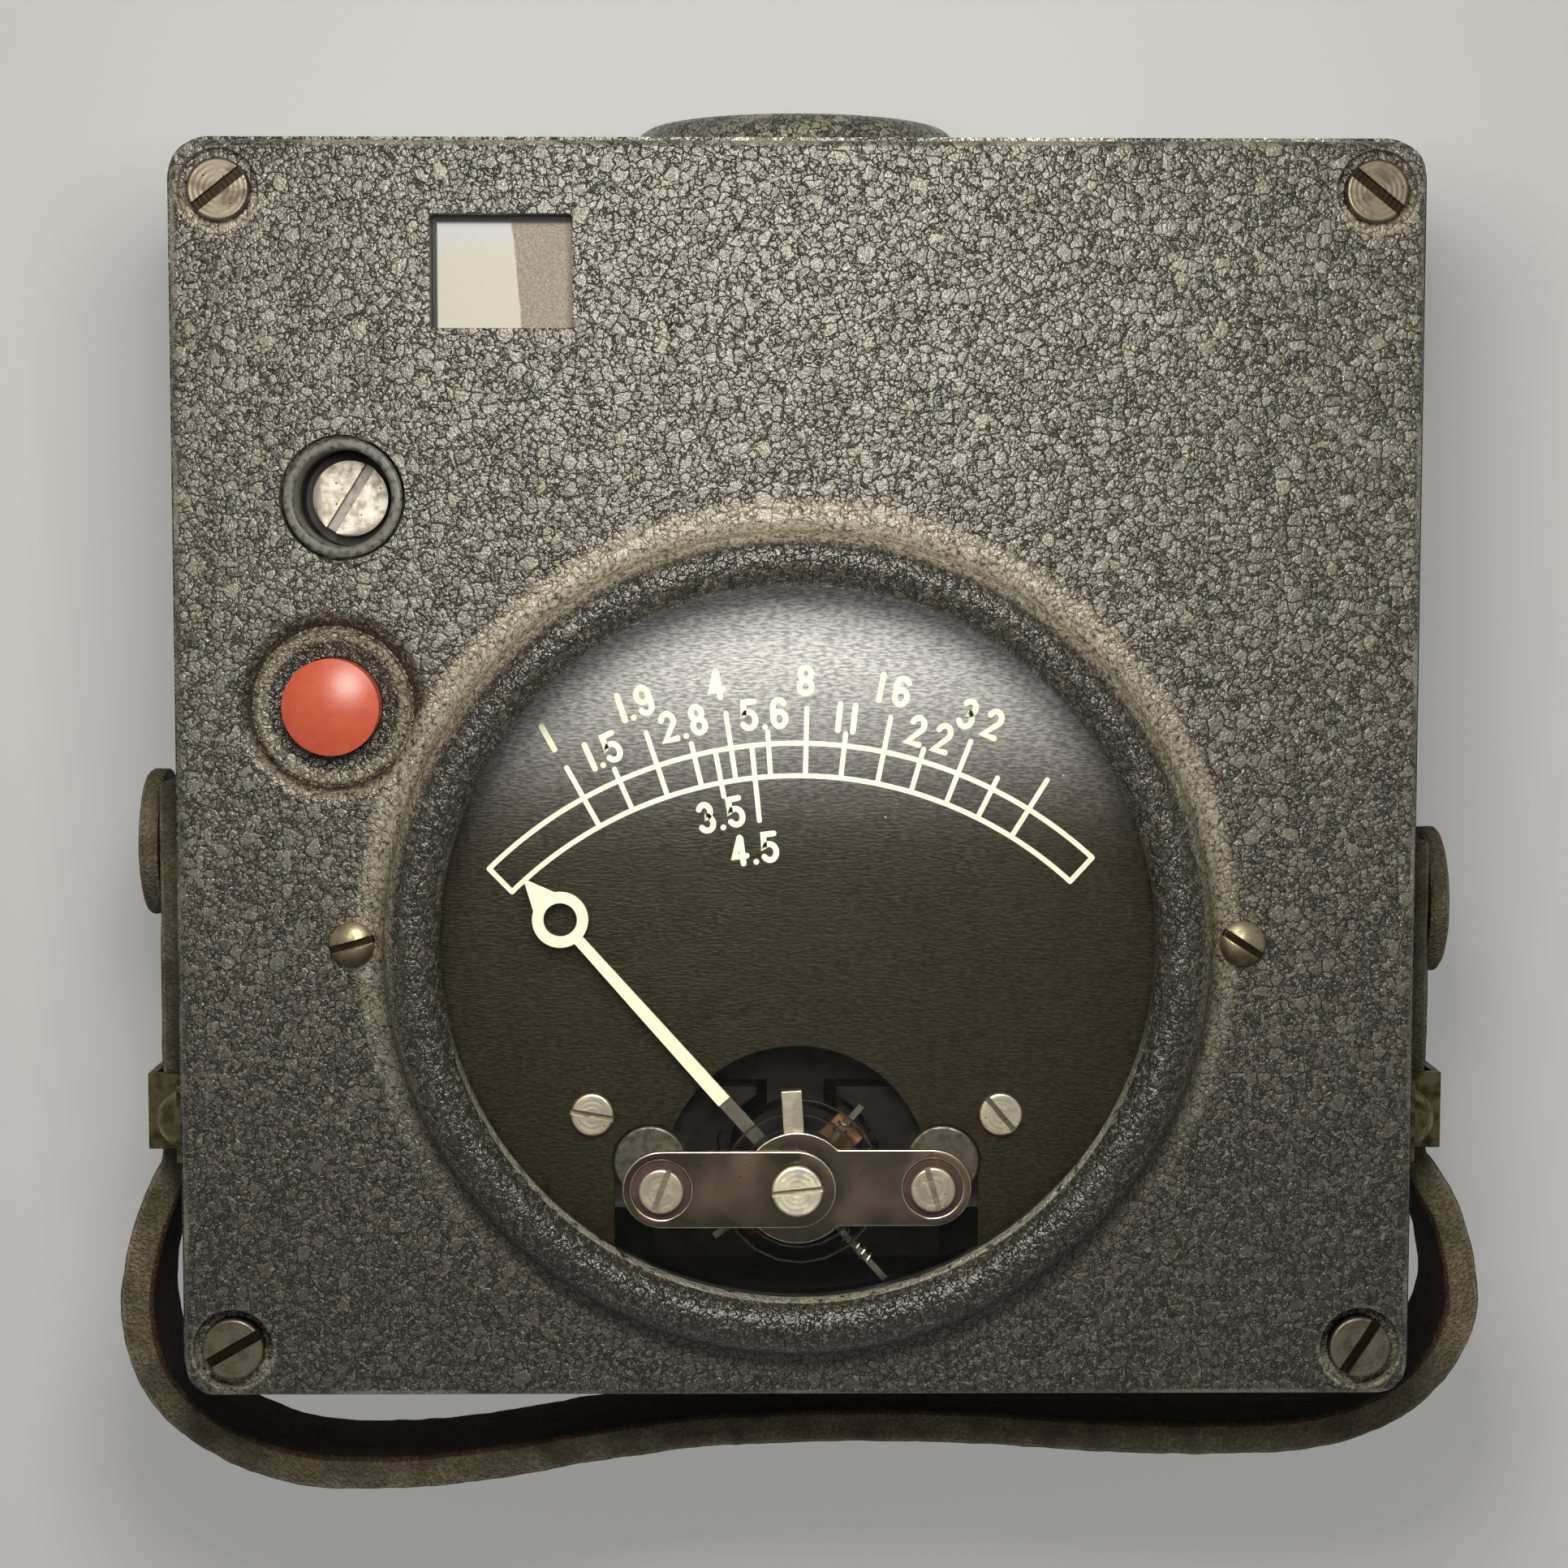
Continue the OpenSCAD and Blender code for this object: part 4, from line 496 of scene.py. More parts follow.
def enamel_tone(look, shade):
    """The enamel's colour: mottled, its pale end partly painted sheen, with painted shade low on the panel
    and darker on the bezel and dish.
    """
    tone = look.plus(look.times(shade, 0.35), look.times(look.noise(0.3, detail=5), 0.65))
    # The pale end of the mottle is partly a painted sheen
    coat = look.mix(look.span(tone, 0.25, 0.75), ENAMEL_DARK, ENAMEL_PALE_SHEEN)
    # Painted shade: darker towards the bottom of the panel
    lower_shade = look.range(look.span(look.axis(1), *PANEL_SHADE_Y), 0.0, 0.7)
    coat = look.mix(lower_shade, coat, ENAMEL_LOWER_SHADE)
    return look.mix(bezel_and_dish_darkening(look), coat, ENAMEL_RING_DARK)


def enamel_scuffs_and_glints(look, border):
    """Share of pale marks: painted glints along the cells' brims, and small spots that are partly scuffs and
    partly painted glints.
    """
    brim_glint = look.times(look.span(border, 0.05, 0.09), look.span(border, 0.21, 0.13))
    brim_glint = look.times(brim_glint, look.span(look.noise(0.5, detail=3), 0.5, 0.6))
    scuff_and_glint = look.most(brim_glint, look.span(look.noise(0.2, detail=3), 0.58, 0.7))
    return look.times(scuff_and_glint, 0.55)


def crackle_enamel():
    """Black wrinkle enamel: flat cells between thin creases with painted shade, scuffs and painted glints,
    dust, painted highlights, bare edges.
    """
    look = Look("crackle_enamel", Specular_IOR_Level=0.85)
    border, middle, shade = wrinkle_cells(look)
    flat = look.most(look.span(border, 0.0, 0.088), look.span(look.noise(0.5, detail=2), 0.56, 0.64))
    bare_and_lit = bare_metal_and_lip_highlight(look)
    # Pale scuffs and painted glints
    coat = look.mix(enamel_scuffs_and_glints(look, border), enamel_tone(look, shade), ENAMEL_SCUFF_GLINT)
    # Painted shade in the creases
    coat = look.mix(flat, ENAMEL_CREASE_SHADE, coat)
    # Pale dust and painted highlights
    coat = look.mix(dust_and_highlights_on_panel(look), coat, PANEL_DUST_HIGHLIGHT)
    # Bare metal on worn edges, and a painted highlight on the bezel's lower inner edge
    coat = look.mix(bare_and_lit, coat, PANEL_METAL_AND_HIGHLIGHT)
    coat = look.mix(window_walls(look), coat, WALL_BLACK)
    height = look.plus(look.times(look.times(middle, middle), -0.4), look.times(flat, 0.45))
    height = look.plus(height, look.times(look.noise(0.25, detail=2), 0.5))
    look.set(Base_Color=coat, Metallic=look.times(bare_and_lit, 0.5), Roughness=look.range(flat, 0.55, 0.25),
             Normal=look.bump(height, 0.2))
    return look.material


# Metal, glass, paint, plastic and leather

# Dark dirt in screw slots, also used as painted shade on the two screws beside the bezel
SLOT_DIRT_SHADE = (0.035, 0.028, 0.019)
PLASTIC_DUST = (0.2, 0.188, 0.16)
# Painted sheen near the top of the dial
DIAL_SHEEN = (0.74, 0.73, 0.74)
DIAL_DUST = (0.4, 0.385, 0.33)
# Painted shadow along the finder screen's top and left edges
SCREEN_SHADE = (0.012, 0.011, 0.009)


def darker(colour, share):
    """A colour at this share of its brightness."""
    return tuple(share * part for part in colour)


def meter_screw_painted_shade(look):
    """Share of painted shade on the two screws beside the bezel: dark lines painted as their wide slots, and
    their lower sides.
    """
    beside = look.off_folded(0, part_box("meter_screws")[1].x / MM - METER_SCREW_RADIUS)
    above = look.off(1, DIAL_CENTRE[1])
    lines = [look.plus(look.times(beside, math.sin(turn)), look.times(above, math.cos(turn)))
             for turn in METER_SLOT_TURNS]
    line = look.calc("ABSOLUTE", look.either(look.right_side(), *lines))
    # Painted shade of the wide slots
    slot = look.span(line, METER_SLOT_HALF, METER_SLOT_HALF - 0.06)
    # Painted shade on the heads' lower sides
    return look.most(slot, look.times(look.span(above, 0.3, -1.6), 0.7))


def slotted(node, deep, drop=0.0):
    """Heights between which a node's screw slots fill with dirt; those on the right are lower by drop."""
    return top_of(node) - deep, top_of(node) - 0.4 * deep, drop


def worn_metal(name, colour, tarnish, rough=0.34, blotch=1.1, slot=None, turned=None, dirt_and_shade=SLOT_DIRT_SHADE,
               painted_shade=None):
    """Bare or plated metal with tarnish, fine scratches and pits.

    Dirt fills a slot between two heights, or painted shade lies where a given function says. Turned gives
    the middle of a head with turned rings, which repeats on the other side of each axis.
    """
    look = Look(name, Metallic=1.0)
    cloud = look.span(look.noise(blotch, detail=5), 0.38, 0.7)
    pit = look.specks(0.55, 0.3, 0.1)
    tone = look.mix(pit, look.mix(cloud, colour, tarnish), darker(tarnish, 0.25))
    relief = look.noise(0.35, look.stretched(0.25, 3.0, 1.0), detail=2)
    if turned:
        rings = look.calc("SINE", look.times(look.away_folded(*turned), 14.0))
        relief = look.plus(relief, look.times(rings, 0.5))
    if slot:
        tone = look.mix(look.slot_dirt(*slot), tone, dirt_and_shade)
    if painted_shade:
        tone = look.mix(painted_shade(look), tone, dirt_and_shade)
    height = look.less(look.times(relief, 0.4), pit)
    look.set(Base_Color=tone, Roughness=look.range(cloud, rough, rough + 0.22),
             Normal=look.bump(height, 0.018))
    return look.material


def clear_glass(name):
    """Glass with faint smears; lamps shine through it."""
    look = Look(name, Base_Color=(0.97, 0.98, 0.97), IOR=1.2, Transmission_Weight=1.0)
    smear = look.span(look.noise(9.0, detail=5), 0.5, 0.75)
    look.set(Roughness=look.range(smear, 0.0, 0.035))
    clear = look.add("BsdfTransparent")
    either = look.add("MixShader")
    look.put(either.inputs[0], look.add("LightPath").outputs["Is Shadow Ray"])
    look.put(either.inputs[1], look.shader.outputs[0])
    look.put(either.inputs[2], clear.outputs[0])
    look.put(look.tree.nodes["Material Output"].inputs["Surface"], either.outputs[0])
    return look.material


def ground_glass():
    """The finder's screen: fine grain, a painted image of light (bright field left, dim field right) and
    painted shadow on its top and left edges.
    """
    look = Look("ground_glass", Roughness=0.5, IOR=1.45)
    grain = look.noise(0.16, detail=2)
    lean = look.plus(look.axis(0), look.times(look.axis(1), 0.095))
    # Painted image of light: a bright field on the left, a dim one on the right
    dim = look.span(look.plus(lean, look.times(look.noise(2.5), 0.5)), *FIELD_BORDER_X)
    bright = look.mix(look.span(look.axis(1), *FIELD_SKY_Y), (0.64, 0.615, 0.505), (0.64, 0.645, 0.67))
    dull = look.mix(look.span(grain, 0.3, 0.75), (0.22, 0.19, 0.14), (0.43, 0.378, 0.296))
    # Painted shadow along the screen's top and left edges
    top = look.span(look.off(1, WINDOW_CENTRE[1] + WINDOW_HALF[1]), -0.7, -0.4)
    left = look.span(look.off(0, WINDOW_CENTRE[0] - WINDOW_HALF[0]), 0.5, 0.3)
    field = look.mix(look.most(top, left), look.mix(dim, bright, dull), SCREEN_SHADE)
    look.set(Base_Color=field, Normal=look.bump(grain, 0.02))
    return look.material


def dial_black():
    """Satin black paint with fine crazing that runs across, a painted sheen near the top and specks of dust.
    """
    look = Look("dial_black", Specular_IOR_Level=0.22)
    craze = look.noise(0.22, look.stretched(0.35, 1.3, 1.0), detail=4)
    tone = look.mix(look.span(craze, 0.35, 0.7), (0.005, 0.0035, 0.0008), (0.03, 0.021, 0.006))
    # Painted sheen: paler towards the top of the dial
    sheen = look.times(look.span(look.axis(1), *DIAL_SHEEN_Y), look.span(look.axis(1), *DIAL_SHEEN_EDGE_Y))
    sheen = look.times(sheen, look.range(look.span(craze, 0.32, 0.7), 0.35, 1.0))
    tone = look.mix(sheen, tone, DIAL_SHEEN)
    tone = look.mix(look.specks(2.6, 0.2, 0.11), tone, DIAL_DUST)
    look.set(Base_Color=tone, Roughness=look.range(craze, 0.28, 0.4), Normal=look.bump(craze, 0.045))
    return look.material


def paint(name, colour, faded, rough):
    """Brushed or printed paint, slightly uneven."""
    look = Look(name)
    cloud = look.noise(0.6, detail=5)
    look.set(Base_Color=look.mix(look.span(cloud, 0.35, 0.75), colour, faded),
             Roughness=look.range(cloud, rough - 0.08, rough + 0.12), Normal=look.bump(cloud, 0.012))
    return look.material


def plastic(name, colour, bloom, rough, top=None):
    """Moulded plastic with a faint bloom and fine scratches; dust lies on it near the height top."""
    look = Look(name)
    cloud = look.span(look.noise(1.4, detail=6), 0.4, 0.75)
    tone = look.mix(cloud, colour, bloom)
    if top:
        dust = look.times(look.span(look.axis(2), top - 0.5, top - 0.1),
                          look.span(look.noise(0.5, detail=5), 0.25, 0.6))
        tone = look.mix(dust, tone, PLASTIC_DUST)
    scratch = look.noise(0.3, look.stretched(2.0, 0.35, 1.0), detail=3)
    look.set(Base_Color=tone, Roughness=look.range(cloud, rough, rough + 0.15),
             Normal=look.bump(scratch, 0.012))
    return look.material


def red_plastic():
    """The button's glossy plastic, slightly uneven."""
    look = Look("red_plastic", Roughness=0.36, Specular_IOR_Level=0.8)
    cloud = look.span(look.noise(1.2, detail=6), 0.35, 0.7)
    look.set(Base_Color=look.mix(cloud, (0.72, 0.122, 0.058), (0.66, 0.1, 0.047)),
             Normal=look.bump(look.noise(0.25), 0.006))
    return look.material


def leather(name, colour, light, grain, depth, rough):
    """Old leather: irregular grain with paler high points and small cracks."""
    look = Look(name, Roughness=rough)
    moved = look.warped(1.5, 0.3)
    pebble = look.span(look.cells(grain, moved), 0.0, 0.3)
    fibre = look.noise(0.35, look.stretched(1.0, 1.0, 0.4), detail=5)
    cloud = look.noise(4.0, detail=5)
    tone = look.mix(look.span(fibre, 0.4, 0.78), colour, light)
    tone = look.mix(look.span(cloud, 0.35, 0.75), tone, darker(colour, 0.55))
    height = look.plus(look.times(pebble, 0.6), fibre)
    look.set(Base_Color=tone, Normal=look.bump(height, depth))
    return look.material


# Finishes of the CAD nodes

def dress_outside():
    """What the photograph shows of the case, controls and fittings."""
    dress(crackle_enamel(), "case", "front_panel")
    dress(worn_metal("screw_steel", (0.3, 0.265, 0.2), (0.15, 0.128, 0.09), 0.38, 1.4,
                     slotted("panel_screws", 0.7), PANEL_SCREW), "panel_screws")
    dress(worn_metal("meter_screw_brass", (0.56, 0.48, 0.32), (0.3, 0.24, 0.14), 0.36, 0.9,
                     painted_shade=meter_screw_painted_shade), "meter_screws")
    dress(red_plastic(), "push_button")
    dress(plastic("bush_plastic", (0.02, 0.019, 0.017), (0.045, 0.042, 0.037), 0.4,
                  top_of("adjuster_bush")), "adjuster_bush")
    dress(worn_metal("adjuster_nickel", (0.62, 0.59, 0.51), (0.52, 0.475, 0.37), 0.45, 0.8,
                     slotted("adjuster_shaft", 1.0), dirt_and_shade=(0.3, 0.29, 0.26)), "adjuster_shaft")
    dress(worn_metal("keeper_steel", (0.19, 0.16, 0.09), (0.075, 0.061, 0.034), 0.38), "strap_keepers",
          "keeper_rivets")
    dress(clear_glass("clear_glass"), "meter_glass", "finder_lens", "cell_window")
    dress(ground_glass(), "finder_glass")


def dress_movement():
    """The dial and what shows through the meter window."""
    dress(dial_black(), "dial_plate")
    dress(paint("pointer_cream", (0.78, 0.745, 0.55), (0.7, 0.655, 0.45), 0.5), "pointer")
    dress(worn_metal("dial_screw_steel", (0.72, 0.66, 0.52), (0.5, 0.44, 0.3), 0.3, 1.1,
                     slotted("dial_screws", 0.5), DIAL_SCREW), "dial_screws")
    step = top_of("bridge_strap") - top_of("upper_bridge")
    dress(worn_metal("bridge_screw_steel", (0.66, 0.6, 0.47), (0.44, 0.39, 0.28), 0.3, 1.1,
                     slotted("bridge_screws", 0.5, step), BRIDGE_SCREW, (0.26, 0.235, 0.18)),
          "bridge_screws")
    dress(worn_metal("jewel_nickel", (0.88, 0.84, 0.66), (0.72, 0.66, 0.48), 0.35, 1.1,
                     slotted("upper_jewel_screw", 0.5), JEWEL_SCREW), "upper_jewel_screw")
    dress(worn_metal("bridge_nickel", (0.085, 0.075, 0.05), (0.165, 0.118, 0.09), 0.24, 7.0),
          "bridge_strap", "upper_bridge")
    dress(worn_metal("lever_nickel", (0.62, 0.58, 0.46), (0.42, 0.38, 0.28), 0.3), "zero_lever")
    dress(worn_metal("cross_nickel", (0.26, 0.24, 0.19), (0.15, 0.135, 0.1), 0.3), "balance_cross")
    dress(worn_metal("post_nickel", (0.16, 0.145, 0.11), (0.06, 0.053, 0.04), 0.42, 0.7), "bridge_posts")
    dress(plastic("fibre", (0.028, 0.008, 0.005), (0.05, 0.014, 0.009), 0.6), "fibre_bushes")
    dress(worn_metal("hair_steel", (0.09, 0.085, 0.07), (0.04, 0.037, 0.03), 0.28), "upper_hairspring",
          "lower_hairspring", "coil_staffs")
    dress(worn_metal("coil_copper", (0.3, 0.17, 0.09), (0.16, 0.09, 0.05), 0.4), "moving_coil")
    dress(worn_metal("balance_wire", (0.42, 0.38, 0.3), (0.25, 0.22, 0.16), 0.35), "balance_coils")
    dress(worn_metal("black_iron", (0.028, 0.026, 0.023), (0.014, 0.013, 0.011), 0.45, 2.0), "pole_pieces",
          "core", "core_bracket")


def dress_inside():
    """What only shows when the part is taken apart."""
    dress(plastic("black_plastic", (0.012, 0.0115, 0.011), (0.024, 0.022, 0.02), 0.5), "glass_spacer",
          "meter_cup")
    dress(plastic("bakelite", (0.05, 0.022, 0.012), (0.028, 0.014, 0.009), 0.35), "switch_plate",
          "rheostat_case", "cell_cup")
    dress(worn_metal("inner_steel", (0.52, 0.5, 0.46), (0.3, 0.27, 0.22)), "inner_screws", "button_spring",
          "bush_nut", "rheostat_winding", "finder_bracket", "battery_clip")
    dress(worn_metal("inner_nickel", (0.6, 0.57, 0.5), (0.36, 0.32, 0.25)), "lower_posts", "lower_bridge")
    dress(worn_metal("inner_brass", (0.72, 0.52, 0.22), (0.42, 0.28, 0.11)), "dial_pillars",
          "lower_jewel_screw", "meter_terminals", "contact_disc", "switch_contacts", "rheostat_wiper",
          "cell_spring", "battery_contacts")
    dress(worn_metal("magnet_steel", (0.3, 0.29, 0.28), (0.15, 0.13, 0.11), 0.45, 3.0), "magnet")
    dress(worn_metal("zinc", (0.5, 0.51, 0.52), (0.34, 0.34, 0.33), 0.45, 3.0), "dry_cell")
    dress(worn_metal("mirror_silver", (0.92, 0.92, 0.9), (0.8, 0.79, 0.75), 0.04, 6.0), "finder_mirror")
    dress(worn_metal("selenium", (0.2, 0.19, 0.2), (0.12, 0.11, 0.12), 0.35, 2.0), "photo_cell")


# Soft edges

SOFT_EDGE = 0.1 * MM
SOFT_EDGE_PARTS = 2
SHARP_ANGLE = math.radians(40)
WELD_GAP = 0.001 * MM


def soften_edges(names, bright=None):
    """Small bevels on sharp edges of sheet metal and screws; bright is the worn metal that they may show."""
    for name in names:
        weld = nodes[name].modifiers.new("weld", "WELD")
        weld.merge_threshold = WELD_GAP
        bevel = nodes[name].modifiers.new("bevel", "BEVEL")
        bevel.width = SOFT_EDGE
        bevel.segments = SOFT_EDGE_PARTS
        bevel.limit_method = "ANGLE"
        bevel.angle_limit = SHARP_ANGLE
        if bright:
            nodes[name].data.materials.append(bright)
            bevel.material = 1
        nodes[name].modifiers.new("normals", "WEIGHTED_NORMAL")


def dress_edges():
    """Bright worn edges on the side screws and the bridge, and plain ones on other thin metal."""
    soften_edges(["meter_screws"], worn_metal("bright_brass", (0.85, 0.76, 0.54), (0.7, 0.6, 0.4), 0.3))
    soften_edges(["bridge_strap", "upper_bridge"],
                 worn_metal("bright_nickel", (0.8, 0.75, 0.6), (0.6, 0.54, 0.4), 0.3))
    soften_edges(["zero_lever", "dial_plate", "strap_keepers", "adjuster_shaft"])


# New pieces

def join_rings(mesh, rings, kind=None):
    """Faces between rings of points; kind gives a smooth face's material from its row and place."""
    for row, (ring, after) in enumerate(zip(rings, rings[1:])):
        for i in range(len(ring)):
            j = (i + 1) % len(ring)
            face = mesh.faces.new((ring[i], ring[j], after[j], after[i]))
            if kind:
                face.material_index = kind(row, i)
                face.smooth = True


def add_piece(name, mesh, materials, body):
    """A finished mesh as a piece that rides on a body."""
    bmesh.ops.recalc_face_normals(mesh, faces=mesh.faces)
    data = bpy.data.meshes.new(name)
    mesh.to_mesh(data)
    mesh.free()
    for material in materials:
        data.materials.append(material)
    piece = bpy.data.objects.new(name, data)
    bpy.context.scene.collection.objects.link(piece)
    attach(piece, body)
    return piece


# Dial print

INK_THICK = 0.05
INK_COAT = 0.012
INK_SUNK = 0.01
MITRE_LEAST = 0.62
CAP_ANGLES = (30, 60, 84)
LINE_WIDE = 0.43
SCALE_IN = 35.0
SCALE_OUT = 37.8
SCALE_ENDS = (134.5, 47.6)
SCALE_STEPS = 72
LONG = 3.0
SHORT = 1.05

# Tick angle, reach outside the scale, reach inside it
TICKS = [(119.0, LONG, 0), (113.8, SHORT, 0), (108.5, LONG, 0), (103.5, SHORT, 0), (100.7, 0, 1.2),
         (98.6, LONG, 0), (95.9, 0, 3.7), (93.7, SHORT, 0), (88.8, LONG, 0), (83.8, SHORT, 0),
         (78.6, LONG, 0), (73.7, SHORT, 0), (68.5, LONG, 0), (63.6, SHORT, 0), (58.1, LONG, 0)]

# Number, angle and radius of its middle
NUMBERS = [("1", 119.2, 43.8), ("1.5", 114.1, 40.7), ("1.9", 108.6, 43.5), ("2.8", 103.9, 40.7),
           ("3.5", 101.7, 32.3), ("4", 99.2, 43.4), ("4.5", 97.2, 28.9), ("5.6", 94.0, 40.4),
           ("8", 89.0, 43.2), ("11", 83.9, 40.2), ("16", 78.8, 43.2), ("22", 73.5, 40.2),
           ("32", 68.4, 42.9)]

DIGIT_WIDE = 1.05
DIGIT_HIGH = 2.25
DIGIT_STROKE = 0.5
DIGIT_GAP = 0.8
POINT_GAP = 0.27


def arc(x, y, rx, ry, start, end, steps=14):
    """Points on an oval from one angle to another, in degrees."""
    turns = [math.radians(start + (end - start) * i / steps) for i in range(steps + 1)]
    return [(x + rx * math.cos(turn), y + ry * math.sin(turn)) for turn in turns]


# Strokes of each digit in a box one wide and one high
DIGITS = {
    "1": [[(0, 0), (0, 1)]],
    "2": [arc(0.5, 0.72, 0.5, 0.28, 165, -30) + [(0, 0), (1, 0)]],
    "3": [arc(0.48, 0.75, 0.46, 0.25, 155, -75) + arc(0.48, 0.27, 0.52, 0.27, 75, -155)],
    "4": [[(0.68, 0), (0.68, 0.96)], [(0.6, 1), (0, 0.28), (1, 0.28)]],
    "5": [[(0.95, 1), (0.1, 1), (0.05, 0.52)] + arc(0.45, 0.31, 0.55, 0.31, 140, -150)],
    "6": [arc(0.5, 0.28, 0.5, 0.28, 0, 360), [(0, 0.28)] + arc(0.5, 0.7, 0.5, 0.3, 180, 30)],
    "8": [arc(0.5, 0.75, 0.44, 0.25, 0, 360), arc(0.5, 0.26, 0.5, 0.26, 0, 360)],
    "9": [arc(0.5, 0.72, 0.5, 0.28, 0, 360), [(1, 0.72)] + arc(0.5, 0.3, 0.5, 0.3, 0, -150)],
    ".": [[(0, 0)]],
}
NARROW = "1."


def round_cap(point, way, half):
    """Ever narrower cross lines past a line's end."""
    sides = []
    for angle in CAP_ANGLES:
        turn = math.radians(angle)
        middle = point + way * half * math.sin(turn)
        across = Vector((-way.y, way.x)) * half * math.cos(turn)
        sides.append((middle + across, middle - across))
    return sides


def line_sides(points, half):
    """Left and right points along a line, mitred at its corners and rounded at its ends."""
    closed = len(points) > 2 and (points[0] - points[-1]).length < half / 100
    line = points[:-1] if closed else points
    steps = [(b - a).normalized() for a, b in zip(line, line[1:] + line[:1])]
    if len(line) == 1:
        steps = [Vector((1.0, 0.0))]
    elif not closed:
        steps[-1] = steps[-2]
    sides = []
    for i, point in enumerate(line):
        before = steps[i - 1] if i or closed else steps[0]
        way = (before + steps[i]).normalized()
        across = Vector((-way.y, way.x)) * half / max(way.dot(steps[i]), MITRE_LEAST)
        sides.append((point + across, point - across))
    if closed:
        return sides + sides[:1]
    start = [(right, left) for left, right in round_cap(line[0], -steps[0], half)]
    return start[::-1] + sides + round_cap(line[-1], steps[-1], half)


def ink_stroke(mesh, points, wide, coat=0):
    """A painted line on the dial through points, in millimetres; a later coat lies a little higher."""
    face = top_of("dial_plate")
    low = face - INK_SUNK
    high = face + INK_THICK + coat * INK_COAT
    rings = []
    for left, right in line_sides([Vector(point) for point in points], wide / 2):
        corners = [(*left, high), (*right, high), (*right, low), (*left, low)]
        rings.append([mesh.verts.new(Vector(corner) * MM) for corner in corners])
    join_rings(mesh, rings)
    mesh.faces.new(rings[0][::-1])
    mesh.faces.new(rings[-1])


def scale_pivot():
    """Where the pointer turns, in millimetres."""
    swing = next(joint for joint in frame["joints"] if joint["name"] == "pointer_swing")
    return swing["pos_m"][0] / MM, swing["pos_m"][1] / MM


def polar(angle, radius):
    """A point on the dial at an angle and radius about the pivot."""
    x, y = scale_pivot()
    turn = math.radians(angle)
    return x + radius * math.cos(turn), y + radius * math.sin(turn)


def scale_lines(mesh):
    """The double arc of the scale, its closed ends and its ticks."""
    first, last = SCALE_ENDS
    x, y = scale_pivot()
    for radius in (SCALE_IN, SCALE_OUT):
        ink_stroke(mesh, arc(x, y, radius, radius, first, last, SCALE_STEPS), LINE_WIDE)
    for angle in SCALE_ENDS:
        ink_stroke(mesh, [polar(angle, SCALE_IN), polar(angle, SCALE_OUT)], LINE_WIDE, 1)
    for angle, outside, inside in TICKS:
        ends = [polar(angle, SCALE_IN - inside), polar(angle, SCALE_OUT + outside)]
        ink_stroke(mesh, ends, LINE_WIDE, 1)


def number_strokes(text):
    """The coats and strokes of a number in millimetres, about its own middle."""
    strokes = []
    pen = 0.0
    for i, sign in enumerate(text):
        wide = 0.0 if sign in NARROW else DIGIT_WIDE
        for coat, stroke in enumerate(DIGITS[sign]):
            strokes.append((coat, [(pen + wide * x, DIGIT_HIGH * y) for x, y in stroke]))
        by_point = "." in text[i:i + 2]
        end = pen + wide
        pen = end + DIGIT_STROKE + (POINT_GAP if by_point else DIGIT_GAP)
    return [(coat, [(x - end / 2, y - DIGIT_HIGH / 2) for x, y in stroke]) for coat, stroke in strokes]


def scale_numbers(mesh):
    """Plain numbers along the scale, each turned to stand on its arc."""
    for text, angle, radius in NUMBERS:
        middle = polar(angle, radius)
        lean = math.radians(angle - 90)
        for coat, stroke in number_strokes(text):
            turned = [(middle[0] + x * math.cos(lean) - y * math.sin(lean),
                       middle[1] + x * math.sin(lean) + y * math.cos(lean)) for x, y in stroke]
            ink_stroke(mesh, turned, DIGIT_STROKE, coat)


def make_dial_print():
    """The scale and its numbers, printed on the dial."""
    cream = paint("print_cream", (0.8, 0.77, 0.6), (0.72, 0.68, 0.5), 0.6)
    for name, draw in (("scale_lines", scale_lines), ("scale_numbers", scale_numbers)):
        mesh = bmesh.new()
        draw(mesh)
        add_piece(name, mesh, [cream], "housing")


# Button spring


def make_button_spring():
    """The button's return spring, as a copy that rides on the housing."""
    node = nodes["button_spring"]
    coil = bpy.data.objects.new("button_coil", node.data.copy())
    bpy.context.scene.collection.objects.link(coil)
    coil.matrix_world = node.matrix_world
    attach(coil, "housing")
    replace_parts(coil, "button_spring")
    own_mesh(coil)


# Strap and stops

GRAIN, CUT, FLESH, PALE, LIP = range(5)
STRAP_X = 54.3
STRAP_BOTTOM = -53.25
STRAP_THICK = 3.1
LEFT_BOW = [(0, -19.5), (1.4, -15.8), (3.1, -11.2), (4, -5.7), (3.2, -0.4), (0.7, 3.8)]
RIGHT_BOW = [(0, -19.8), (1.3, -17), (3.3, -13.6), (4.7, -8.8), (4.8, -4.2), (2.7, 0.3)]
UNDER_RUN = [(-0.93, 7.1), (-0.81, 9.4), (-0.66, 9.8), (-0.5, 9), (-0.33, 7.4), (-0.15, 6.1),
             (0.07, 5.6), (0.29, 5.8), (0.5, 6.6), (0.7, 6.8), (0.86, 6.2), (0.975, 4)]
LEFT_ENDS = [(-STRAP_X, -1.5), (-STRAP_X, -23.5)]
RIGHT_ENDS = [(STRAP_X, -23.5), (STRAP_X, -6.7)]
ROUTE_STEPS = 12
EDGE_ROUND = 0.4
FACE_PARTS = 12
EDGE_PARTS = 4

# Size and depth of the uneven surface
FACE_WANDER = (2.2, 0.18)
EDGE_WANDER = (1.6, 0.3)
STOP_WANDER = (1.5, 0.035)
WANDER_APART = Vector((40, 0, 0))

STOP_R = 6.6
STOP_THICK = 1.7
STOP_HUB = 0.02
STOP_TURNS = 72
STOP_Y = {-1: -7.1, 1: -12.3}

